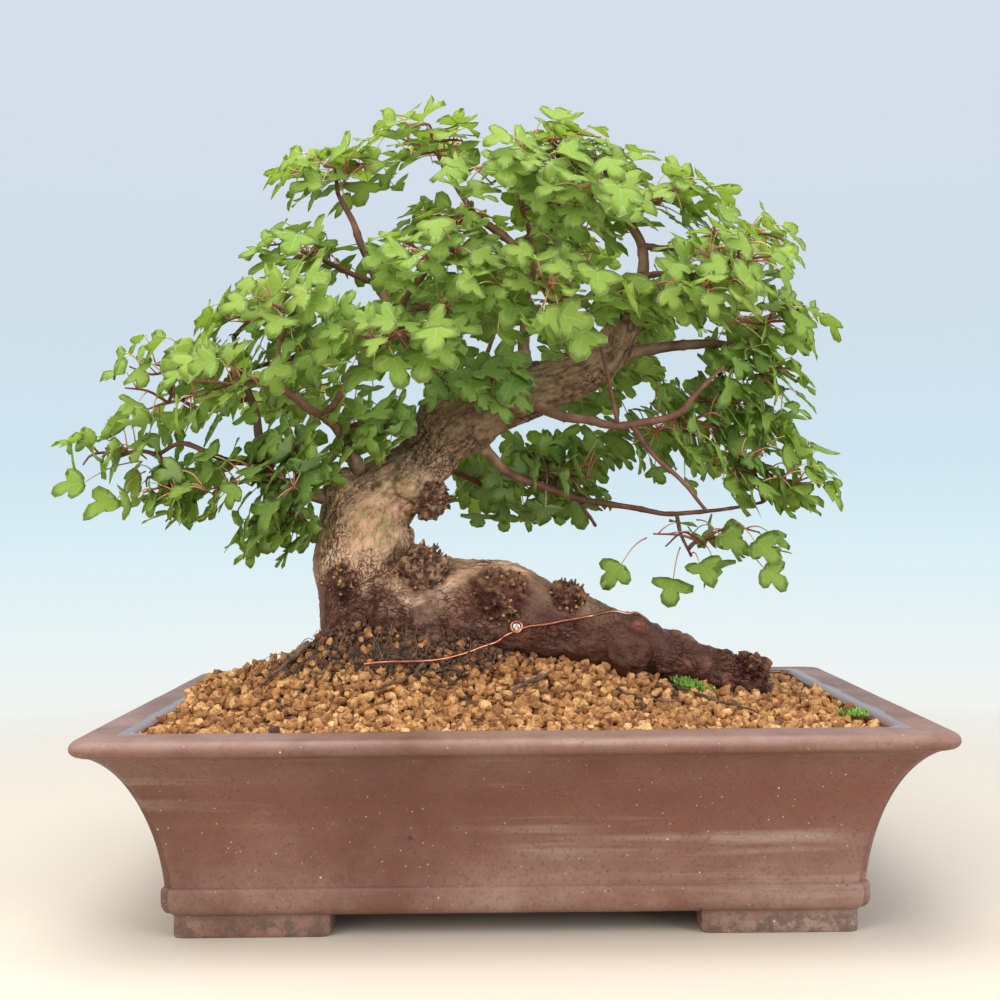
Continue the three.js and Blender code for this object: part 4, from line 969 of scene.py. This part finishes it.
def spray(name, middle, reach, wanted):
    """One spray: a shoot from the nearest twig, side shoots, and blades spread evenly through the spray's own
    flattened round space, each on a stalk from the nearest joint."""
    global leaf_places
    near = np.linalg.norm((twig_places[:, :3] - middle) * [1, 1, 1.4], axis=1).argmin()
    start = twig_places[near, :3]
    lead = smooth_line(np.array([[*start, 1.5], [*((start + middle) / 2 + [0, 0, 3]), 1.3], [*middle, 1.0]]),
                       3)
    stems, stem_flush, joints = [sweep(lead, 7)], [], [lead[len(lead) // 2 :: 2, :3]]
    stem_flush.append(np.zeros(len(stems[-1][0])))
    turn = random.uniform(0, 2 * math.pi)
    for _ in range(5):
        turn += 2 * math.pi / 5 + random.uniform(-0.35, 0.35)
        origin = lead[int(random.uniform(0.55, 0.99) * len(lead)), :3]
        way = np.array([math.cos(turn), math.sin(turn), random.uniform(-0.35, 0.6)])
        tip = middle + reach * way * random.uniform(0.5, 0.72)
        bend = (origin + tip) / 2 + random.normal(0, 3, 3) + [0, 0, 3]
        line = smooth_line(np.array([[*origin, 1.0], [*bend, 0.8], [*tip, 0.5]]), 3)
        stems.append(sweep(line, 6))
        stem_flush.append(np.full(len(stems[-1][0]), 0.06))
        joints.append(line[2::2, :3])
    joints = np.concatenate(joints)
    blade_centres = []
    for trial in random.normal(size=(900, 3)):
        place = middle + unit(trial) * random.uniform() ** 0.4 * reach
        gap = np.linalg.norm((leaf_places - place) * [1, 1, 1.25], axis=1).min()
        if gap > LEAF_SPACING and len(blade_centres) < wanted:
            blade_centres.append(place)
            leaf_places = np.vstack([leaf_places, place])
    centres = np.array(blade_centres)
    count = len(centres)
    offset = centres[:, None] - joints[None]
    far = np.linalg.norm(offset, axis=2)
    # A stalk leaves a joint 13 to 26 mm off, best from below and from nearer the trunk.
    inward = unit(centres - crown_middle)
    cost = np.abs(far - 18) - (offset * inward[:, None]).sum(axis=2) * 0.35
    start = joints[cost.argmin(axis=1)]
    outward = unit((centres - crown_middle) * [1, 1, 0.5])
    facing = unit(outward * 0.62 + [0, -0.16, 0.62] + random.normal(0, 0.34, (count, 3)))
    along = unit(centres - start) * 0.75 + outward * 0.4 + random.normal(0, 0.3, (count, 3)) + [0, 0, -0.12]
    along = unit(along - facing * (along * facing).sum(axis=1)[:, None])
    size = LEAF_LENGTH * random.uniform(0.74, 1.2, count)
    bases = centres - along * (size * 0.4)[:, None]
    for joint, base, rise in zip(start, bases, random.uniform(0.04, 0.2, count)):
        stems.append(sweep(stalk_line(joint, base, np.linalg.norm(base - joint) * rise, 0.4), 4))
        stem_flush.append(np.append(np.repeat(np.linspace(0.2, 1.0, 6), 4), [0.2, 1.0]))
    # Leaves low and deep in the crown are painted darker than those at its outside as painted shade, over a
    # random tone.
    heart = np.linalg.norm((centres - crown_middle) / [235, 135, 145], axis=1)
    light = np.clip(0.18 + 0.52 * blend(0.55, 1.1, heart) + 0.4 * random.uniform(-0.5, 0.6, count), 0, 1)
    return leaf_piece(name, stems, stem_flush, bases, along, facing, size, light)


spray_count = sum(name.startswith("leaf_spray_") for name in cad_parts)
for number in range(1, spray_count + 1):
    low, high = (np.array(corner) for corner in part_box(f"leaf_spray_{number:02d}"))
    reach, wanted = own_way.get(number, (np.clip((high - low) * 500, [36, 36, 18], [50, 50, 28]), 33))
    piece = spray(f"foliage_{number:02d}", points_round_pot((low + high) / 2), np.array(reach), wanted)
    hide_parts(f"leaf_spray_{number:02d}")
for number, (middle, reach, wanted) in enumerate(between, spray_count + 1):
    spray(f"foliage_{number:02d}", np.array(middle) + [0, 0, rim], np.array(reach), wanted)

# Single leaves that hang clear of the crown on long stalks: each stalk's start and the middle of its blade.
hanging = np.array([[-224, -8, 146, -267, -10, 132], [-222, -6, 140, -246, -14, 120],
                    [86, 22, 96, 64, 12, 74], [107, 22, 90, 100, 12, 64], [138, 16, 92, 163, 8, 72],
                    [117, 20, 107, 138, 12, 93], [138, 16, 107, 158, 8, 88], [114, 20, 86, 120, 6, 76]],
                   float)
start, centre = hanging[:, :3] + [0, 0, rim], hanging[:, 3:] + [0, 0, rim]
facing = unit(np.array([[0, -0.8, 0.6]]) + random.normal(0, 0.22, (len(hanging), 3)))
along = unit(centre - start)
along = unit(along - facing * (along * facing).sum(axis=1)[:, None])
size = LEAF_LENGTH * random.uniform(1.0, 1.25, len(hanging))
bases = centre - along * (size * 0.4)[:, None]
stems = [sweep(stalk_line(foot, base, 3.0, 0.42), 5) for foot, base in zip(start, bases)]
flush = [np.append(np.repeat(np.linspace(0.2, 0.7, 6), 5), [0.2, 0.7])] * len(hanging)
leaf_piece("foliage_long_stalked", stems, flush, bases, along, facing, size, np.full(len(hanging), 0.5))

# ---- soil ----
# Fired-clay granules, 4 to 7 mm, heaped round the roots, with dark humus at the foot of the trunk.
GRAIN = 5.6


def soil_height(x, y):
    """The mound: a wide rise at the foot of the trunk and a ridge along the root, above a level bed."""
    def bump(x0, y0, wide, deep):
        return np.exp(-((x - x0) ** 2) / (2 * wide**2) - (y - y0) ** 2 / (2 * deep**2))

    roll = 1.2 * np.sin(x / 17 + y / 23) * np.cos(y / 19)
    return POT_HEIGHT - 8 + 40 * bump(-75, 15, 75, 60) + 17 * bump(50, 5, 55, 45) + roll


def grain_shape():
    """A lumpy block of 24 faces: a cube's grid pushed out to the sphere round it."""
    line = np.array([-1, 0, 1.0])
    places, faces = {}, []
    for axis in range(3):
        for sign in (-1, 1):
            for i in range(2):
                for j in range(2):
                    ring = []
                    for di, dj in ((0, 0), (1, 0), (1, 1), (0, 1)):
                        p = np.zeros(3)
                        p[axis], p[(axis + 1) % 3], p[(axis + 2) % 3] = sign, line[i + di], line[j + dj]
                        ring.append(places.setdefault(tuple(p), len(places)))
                    faces.append(ring if sign > 0 else ring[::-1])
    points = np.array(list(places))
    return points / np.linalg.norm(points, axis=1)[:, None] ** 0.72, np.array(faces)


grain_points, grain_faces = grain_shape()


def random_turns(count):
    """Even random rotations, as matrices, from unit four-part numbers."""
    q = random.normal(size=(count, 4))
    w, x, y, z = (q / np.linalg.norm(q, axis=1)[:, None]).T
    return np.array([[1 - 2 * (y * y + z * z), 2 * (x * y - z * w), 2 * (x * z + y * w)],
                     [2 * (x * y + z * w), 1 - 2 * (x * x + z * z), 2 * (y * z - x * w)],
                     [2 * (x * z - y * w), 2 * (y * z + x * w), 1 - 2 * (x * x + y * y)]]).transpose(2, 0, 1)


def grains(name, centres, sizes, tones, look, lumpiness=0.19):
    """Many lumpy grains as one piece, each turned, stretched and dented by its own random numbers."""
    count = len(centres)
    stretch = random.uniform(0.78, 1.2, (count, 1, 3))
    dents = 1 + random.normal(0, lumpiness, (count, len(grain_points), 1))
    shaped = grain_points[None] * stretch * dents * (sizes / 2)[:, None, None] * 0.86
    turned = np.einsum("nij,nkj->nki", random_turns(count), shaped) + centres[:, None]
    faces = (grain_faces[None] + np.arange(count)[:, None, None] * len(grain_points)).reshape(-1, 4)
    piece = mesh_piece(name, turned.reshape(-1, 3), faces, smooth_angle=48)
    give_attribute(piece, "tone", np.repeat(tones, len(grain_points)))
    piece.data.materials.append(look)
    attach(piece, "root")
    return piece


def buried(points):
    """Whether each point, in millimetres, lies inside the trunk or its root."""
    inside = []
    for point in in_frame(points):
        place, normal, _, far = trunk_surface.find_nearest(Vector(point))
        inside.append(far < 0.034 and (Vector(point) - place).dot(normal) < 0.0006)
    return np.array(inside)


# Fired-clay granules: porous, dusty and quite rough, buff to rust.
granule_clay, granule_shader = material("fired_clay_granule")
where = node(granule_clay, "place")
grain_tone = node(granule_clay, "attribute", attribute_name="tone")
granule_tint = node(granule_clay, "ramp", grain_tone, (0.0, "#4a2f1c"), (0.25, "#855630"), (0.6, "#ad7843"),
                    (1.0, "#daa96d"))
pores = node(granule_clay, "noise", where, 500 / 1.3, 4, 0.7)
granule_tint = node(granule_clay, "mix", node(granule_clay, "ramp", pores, (0.36, 0.75), (0.52, 0.0)),
                    granule_tint, "#5e3b20")
granule_tint = node(granule_clay, "mix", node(granule_clay, "ramp", pores, (0.55, 0.0), (0.75, 0.3)),
                    granule_tint, "#ecc796")
granule_bump = node(granule_clay, "bump", 0.7, 0.0007, pores)
feed(granule_shader, {"Base Color": granule_tint, "Roughness": 0.92, "Normal": granule_bump})

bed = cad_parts["soil"]
soil_dark, bed_shader = material("damp_fired_clay_dust")
where = node(soil_dark, "place")
bed_bump = node(soil_dark, "bump", 1.0, 0.002, node(soil_dark, "noise", where, 500 / 4, 3, 0.55))
feed(bed_shader, {"Base Color": node(soil_dark, "ramp", node(soil_dark, "noise", where, 500 / 5, 4, 0.55),
                                     (0.3, "#3f2818"), (0.7, "#7a5030")), "Roughness": 0.95,
                  "Normal": bed_bump})
bed.data.materials.clear()
bed.data.materials.append(soil_dark)

open_x, open_y = POT_WIDTH / 2 - LIP_WIDTH - 3.5, POT_DEPTH / 2 - LIP_WIDTH - 3.5


def scatter(spacing, jitter):
    """Places on a staggered grid over the pot's opening, each moved a little."""
    rows, columns = int(2 * open_y / spacing / 0.87), int(2 * open_x / spacing)
    j, i = np.mgrid[0 : rows + 1, 0 : columns + 1]
    x = -open_x + (i + 0.5 * (j % 2)) * 2 * open_x / (columns + 0.5)
    y = -open_y + j * 2 * open_y / rows
    places = np.column_stack([x.ravel(), y.ravel()])
    places = places + random.uniform(-jitter, jitter, places.shape)
    return np.clip(places, [-open_x, -open_y], [open_x, open_y])


layers = []
for spacing, lift, keep in ((4.9, 0.8, 1.0), (6.2, 4.0, 0.62), (12.5, 7.0, 0.4)):
    places = scatter(spacing, spacing * 0.42)
    places = places[random.uniform(size=len(places)) < keep]
    places = np.column_stack([places, soil_height(places[:, 0], places[:, 1]) + lift])
    layers.append(places)
grain_places = np.concatenate(layers)
grain_places[:, 2] += random.uniform(-0.7, 0.7, len(grain_places))
grain_places = grain_places[~buried(grain_places)]
grain_sizes = np.clip(random.normal(GRAIN, 0.95, len(grain_places)), 3.4, 8.2)
from_trunk = np.linalg.norm((grain_places[:, :2] - [-58, -2]) / [74, 44], axis=1)
humus_share = blend(1.2, 0.78, from_trunk + 0.2 * value_noise(grain_places / 14, 71))
grain_tones = np.clip(random.normal(0.6, 0.24, len(grain_places)) - 0.38 * humus_share, 0, 1)
grain_sizes *= 1 - 0.3 * humus_share
front = grain_places[:, 1] < -20
for name, chosen in (("granules_front", front), ("granules_back", ~front)):
    grains(name, grain_places[chosen], grain_sizes[chosen], grain_tones[chosen], granule_clay)

# ---- humus and loose roots ----
# Dark crumbs of old soil and a felt of fine roots round the foot of the trunk. A few thicker dead
# roots lie loose on the granules.
humus, humus_shader = material("humus")
where = node(humus, "place")
feed(humus_shader, {"Base Color": node(humus, "ramp", node(humus, "noise", where, 500 / 2.5, 4, 0.7),
                                       (0.35, "#33221a"), (0.58, "#6b4b35"), (0.75, "#a6845f")),
                    "Roughness": 0.9})


def heap(x, y):
    """How far the humus at the front of the trunk stands over the granule bed."""
    return (19 * np.exp(-((x + 92) ** 2) / (2 * 27**2) - (y + 12) ** 2 / (2 * 15**2))
            + 9 * np.exp(-((x + 40) ** 2) / (2 * 22**2) - (y + 16) ** 2 / (2 * 12**2)))


grid_x, grid_y = np.meshgrid(np.linspace(-160, 10, 120), np.linspace(-62, 46, 80), indexing="ij")
heap_top = soil_height(grid_x, grid_y) + heap(grid_x, grid_y) - 0.5
heap_lumps = layered_noise(np.stack([grid_x, grid_y, 0 * grid_x], axis=2).reshape(-1, 3) / 5, 3, 81)
heap_top += heap_lumps.reshape(grid_x.shape) * 1.5
heap_ends = np.minimum.reduce([grid_x + 160, 10 - grid_x, grid_y + 62, 46 - grid_y])
heap_top = np.where(heap_ends < 1, soil_height(grid_x, grid_y) - 9, heap_top - 7 * blend(14, 0, heap_ends))
upper_side = np.stack([grid_x, grid_y, heap_top], axis=2).reshape(-1, 3)
under_side = np.stack([grid_x, grid_y, np.full_like(grid_x, POT_HEIGHT - 12)], axis=2).reshape(-1, 3)
below_top = grid_x.size
number = np.arange(below_top).reshape(grid_x.shape)
top_quads = np.stack([number[:-1, :-1], number[1:, :-1], number[1:, 1:], number[:-1, 1:]],
                     axis=2).reshape(-1, 4)
border = np.concatenate([number[:-1, 0], number[-1, :-1], number[:0:-1, -1], number[0, :0:-1]])
beyond = np.roll(border, -1)
side_quads = np.stack([border, border + below_top, beyond + below_top, beyond], axis=1)
mound = mesh_piece("humus_mound", np.concatenate([upper_side, under_side]),
                   np.concatenate([top_quads, top_quads[:, ::-1] + below_top, side_quads]))
mound.data.materials.append(humus)
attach(mound, "root")

crumb_count = 2600
angle = random.uniform(0, 2 * math.pi, crumb_count)
ring = random.uniform(0.1, 1.0, crumb_count) ** 0.6
crumb_x, crumb_y = -62 + 78 * ring * np.cos(angle), -6 + 44 * ring * np.sin(angle)
crumb_z = soil_height(crumb_x, crumb_y) + heap(crumb_x, crumb_y) + random.uniform(0.5, 3.0, crumb_count)
crumbs = np.column_stack([crumb_x, crumb_y, crumb_z])
crumbs = crumbs[~buried(crumbs)]
grains("humus_crumbs", crumbs, random.uniform(1.2, 3.6, len(crumbs)), np.zeros(len(crumbs)), humus, 0.3)
stray = random.uniform(size=len(crumbs)) < 0.13
grains("granules_in_humus", crumbs[stray] + [0, 0, 1.4], random.uniform(2.6, 5.4, stray.sum()),
       random.uniform(0.1, 0.75, stray.sum()), granule_clay)

# Fine roots: dark, thin and brittle.
root_skin, root_shader = material("fine_root")
where = node(root_skin, "place")
feed(root_shader, {"Base Color": node(root_skin, "ramp", node(root_skin, "noise", where, 500 / 3, 3, 0.55),
                                      (0.35, "#35241b"), (0.7, "#80604a")), "Roughness": 0.7})


def on_ground(x, y, lift):
    return np.column_stack([x, y, soil_height(x, y) + heap(x, y) + lift])


fibres = []
for x, y in zip(random.normal(-72, 34, 300), random.normal(-26, 14, 300)):
    length, way = random.uniform(8, 26), random.uniform(0, 2 * math.pi)
    t = np.linspace(0, 1, 7)
    bent = way + random.normal(0, 1.3) * t
    line = on_ground(x + np.cumsum(np.cos(bent)) * length / 7, y + np.cumsum(np.sin(bent)) * length / 9,
                     2.0 + 5 * np.sin(math.pi * t) * random.uniform(0.2, 1.6))
    fibres.append(sweep(np.column_stack([line, np.full(7, random.uniform(0.16, 0.42)) * (1 - 0.6 * t)]), 4))
for line, thick in (([(96, -30), (112, -52), (136, -78)], 1.3), ([(22, -44), (6, -60), (-8, -78)], 1.6),
                    ([(-52, -42), (-60, -58), (-76, -72)], 1.3),
                    ([(-122, -18), (-136, -30), (-146, -44)], 1.9),
                    ([(-104, -40), (-118, -56), (-122, -74)], 1.1),
                    ([(60, -50), (84, -62), (100, -60)], 0.9)):
    flat = smooth_line(np.column_stack([np.array(line, float), np.zeros((3, 2))]), 3)[:, :2]
    lying = on_ground(flat[:, 0], flat[:, 1], 6.5) + np.random.default_rng(3).normal(0, 0.35, (len(flat), 3))
    fibres.append(sweep(np.column_stack([lying, np.linspace(thick, thick * 0.5, len(lying))]), 8))
felt = mesh_piece("fine_roots", *stacked(fibres))
felt.data.materials.append(root_skin)
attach(felt, "root")

# ---- moss ----
# Small cushions of moss on the soil: a mound set with short upright shoots.
moss_look, moss_shader = material("cushion_moss")
where = node(moss_look, "place")
feed(moss_shader, {"Base Color": node(moss_look, "ramp", node(moss_look, "noise", where, 500 / 3, 4, 0.55),
                                      (0.3, "#2f4416"), (0.6, "#6f9a2c"), (0.75, "#9fbf4a")),
                   "Roughness": 0.85})
for name in ("moss_by_root", "moss_by_wall"):
    low, high = (np.array(corner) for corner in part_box(name))
    middle = points_round_pot((low + high) / 2)
    wide = (high - low)[0] * 500
    shoots = [(ball(middle + [0, 0, 0.5], wide * 0.6, 16))]
    for _ in range(170):
        spread = random.normal(0, 0.42, 2) * wide
        foot = middle + [spread[0], spread[1], 3.2 * math.exp(-(spread @ spread) / wide**2)]
        foot[2] = max(foot[2], soil_height(foot[0], foot[1]) + 7.0)
        top = foot + random.normal(0, 0.9, 3) + [0, 0, random.uniform(1.6, 3.4)]
        shoots.append(sweep(np.array([[*foot, 0.7], [*((foot + top) / 2), 0.75], [*top, 0.2]]), 5))
    cushion = mesh_piece(name + "_cushion", *stacked(shoots))
    cushion.data.materials.append(moss_look)
    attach(cushion, "root")
    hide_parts(name)

# ---- screw ----
# A small pan-head steel screw in the root, with a cross recess.
SCREW_PLACE = (3.0, 44.2)
HEAD_RADIUS = 2.7


def facing_wood(x, z, clear):
    """Places before the wood at given x and height over the lip, where a line from the front meets it."""
    out = []
    for px, pz in zip(x, z):
        start = Vector(in_frame([px, -300.0, pz + rim]))
        hit = trunk_surface.ray_cast(start, Vector((0, 1, 0)))[0]
        out.append([px, -300.0 + (hit.y - start.y) * 1000 - clear if hit else -10.0, pz + rim])
    return np.array(out)


screw_seat = facing_wood([SCREW_PLACE[0]], [SCREW_PLACE[1]], 0)[0]
share = np.linspace(0, 1, 11)
head_line = np.column_stack([np.concatenate([[1.2, 1.2], HEAD_RADIUS * np.cos(share * math.pi / 2) ** 0.6]),
                             np.concatenate([[9.0, 0.6], -1.0 - 1.2 * np.sin(share * math.pi / 2)])])
head_line[2] = [HEAD_RADIUS, -0.6]
head_line[-1, 0] = 0.25
around = np.linspace(0, 2 * math.pi, 32, endpoint=False)
head = np.stack([np.outer(head_line[:, 0], np.cos(around)), np.repeat(head_line[:, 1:2], 32, axis=1),
                 np.outer(head_line[:, 0], np.sin(around))], axis=2)
arm = np.minimum(np.abs(head[..., 0]), np.abs(head[..., 2]))
reached = np.hypot(head[..., 0], head[..., 2])
head[..., 1] += 0.7 * (arm < 0.36) * (reached < 1.5) * (head[..., 1] < -1.2)
head = head.reshape(-1, 3) + screw_seat
screw_quads, screw_tris = tube_faces(len(head_line), 32)
ends = np.array([screw_seat + [0, 9.0, 0], screw_seat + [0, -1.4, 0]])
screw = mesh_piece("pan_head_screw", np.concatenate([head, ends]), screw_quads, screw_tris, smooth_angle=40)

# Bright steel with small scuffs.
steel, steel_shader = material("steel")
where = node(steel, "place")
feed(steel_shader, {"Base Color": node(steel, "ramp", node(steel, "noise", where, 500 / 1.5, 4, 0.55),
                                       (0.35, "#b4b0aa"), (0.65, "#eeece8")), "Metallic": 1.0,
                    "Roughness": 0.3})
screw.data.materials.append(steel)
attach(screw, "root")
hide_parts("wire_screw")

# ---- copper wire ----
# Annealed copper, 1.5 mm, bent by hand: it lies along the wood, turns once round the screw and goes over the
# root.
WIRE_RADIUS = 0.75
left_x = np.array([-86, -74, -62, -51, -42, -34, -26, -19, -8, -2.5])
left_z = np.array([25.5, 26.5, 26.5, 26.5, 27, 28.2, 30, 32.4, 35.6, 39.5])
left_run = facing_wood(left_x, left_z, 1.6)
left_run[:, 1] = np.minimum(left_run[:, 1], [-50, -49, -47, -44, -40, -35, -30, -26, -18, -14])
turn = np.linspace(-0.75, 1.6, 14) * math.pi
loop = np.column_stack([screw_seat[0] + 3.3 * np.cos(turn), screw_seat[1] - 1.9 - 0.16 * turn,
                        screw_seat[2] + 3.3 * np.sin(turn)])
loop = loop[::-1]
right_x = np.array([9, 15, 22, 31, 41, 48, 55])
right_z = np.array([44.0, 44.8, 45.6, 47.2, 48.8, 50.1, 51.2])
right_run = facing_wood(right_x, right_z, 1.6)
# Over the root it follows an arc, seen from the root's own axis, from the front to the far side.
root_axis = smooth_line(root_line, 2)
over_run = []
for px, angle in ((63, 1.2), (70, 1.4), (77, 1.6), (83, 1.85), (88, 2.1), (92, 2.4)):
    axis = root_axis[np.abs(root_axis[:, 0] - px).argmin(), :3]
    out = np.array([0, -math.cos(angle), math.sin(angle)])
    place = trunk_surface.ray_cast(Vector(in_frame(axis + out * 60)), Vector(-out))[0]
    over_run.append(points_round_pot(place) + out * 1.1)
wire_line = np.concatenate([left_run, right_run, np.array(over_run)])
wire_line[:10, 1] = np.minimum.reduce([wire_line[:10, 1], np.append(wire_line[1:10, 1], 0) + 2])
wire_points = np.column_stack([wire_line, np.full(len(wire_line), WIRE_RADIUS)])
wire_points = smooth_line(wire_points, 1.5)
ring_points = smooth_line(np.column_stack([loop, np.full(len(loop), WIRE_RADIUS)]), 0.8)
wire = mesh_piece("bent_copper_wire", *stacked([sweep(wire_points, 12), sweep(ring_points, 12)]))

# Copper: bright orange-brown, dulled a little by handling.
copper, copper_shader = material("copper")
where = node(copper, "place")
feed(copper_shader, {"Base Color": node(copper, "ramp", node(copper, "noise", where, 500 / 4, 4, 0.55),
                                        (0.3, "#a05c42"), (0.6, "#db987a")), "Metallic": 1.0,
                     "Roughness": 0.3})
wire.data.materials.append(copper)
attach(wire, "root")
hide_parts("copper_wire")

# ---- floor, light and background ----
# A pale table in front of a pale blue backdrop, lit by large soft lamps from above and in front.
FLOOR_SIDES = 96
floor_turn = np.linspace(0, 2 * math.pi, FLOOR_SIDES, endpoint=False)
floor_rings = [np.column_stack([r * np.cos(floor_turn), r * np.sin(floor_turn), np.full(FLOOR_SIDES, -0.3)])
               for r in (1, 300, 500, 700, 900, 1100)]
floor_quads, _ = tube_faces(len(floor_rings), FLOOR_SIDES)
first_ring = np.arange(FLOOR_SIDES)
centre_fan = np.column_stack([np.full(FLOOR_SIDES, len(floor_rings) * FLOOR_SIDES), first_ring,
                              (first_ring + 1) % FLOOR_SIDES])
floor = mesh_piece("floor", np.concatenate([*floor_rings, [[0, 0, -0.3]]]), floor_quads, centre_fan)
floor_look, floor_shader = material("pale_floor")
feed(floor_shader, {"Base Color": "#cabfae", "Roughness": 0.7})
where = node(floor_look, "place")
fade = node(floor_look, "ramp", node(floor_look, "length", where), (0.42, 0.0), (0.98, 1.0))
floor_mix = node(floor_look, "two_shaders", fade, floor_shader.outputs[0], node(floor_look, "clear"))
feed(floor_look.node_tree.nodes["Material Output"], {"Surface": floor_mix})
floor.data.materials.append(floor_look)

world = bpy.data.worlds.new("studio")
world.use_nodes = True
bpy.context.scene.world = world
sky = world.node_tree.nodes["Background"]
sky_way = node(world, "place_by_way")
sky_share = node(world, "range", node(world, "axis_z", sky_way), -0.32, 0.36)
feed(sky, {"Color": node(world, "ramp", sky_share, (0.0, "#faf0e5"), (0.16, "#f8f3ea"), (0.26, "#f5f5f0"),
                         (0.36, "#e8f3f4"), (0.44, "#dceff6"), (0.53, "#d0e5f0"), (0.7, "#d0dee9"),
                         (1.0, "#d8dfeb"))})


def soft_lamp(name, place, aim, size, power, tint_text="#ffffff"):
    """A square lamp of a size in metres, at a place in millimetres, turned towards another."""
    light = bpy.data.lights.new(name, "AREA")
    light.size = size
    light.energy = power
    light.color = colour(tint_text)[:3]
    lamp = bpy.data.objects.new(name, light)
    spot, target = Vector(in_frame(place)), Vector(in_frame(aim))
    lamp.matrix_world = (Matrix.Translation(spot)
                         @ (target - spot).to_track_quat("-Z", "Y").to_matrix().to_4x4())
    bpy.context.collection.objects.link(lamp)


soft_lamp("overhead", (-150, -200, 1400), (0, 0, 250), 1.2, 22)
soft_lamp("front_left", (-1000, -1300, 900), (0, 0, 220), 1.2, 19, "#fff6ea")
soft_lamp("front_right", (1200, -1000, 480), (0, 0, 230), 1.0, 19, "#f6f6ff")
bpy.context.scene.view_settings.view_transform = "Standard"
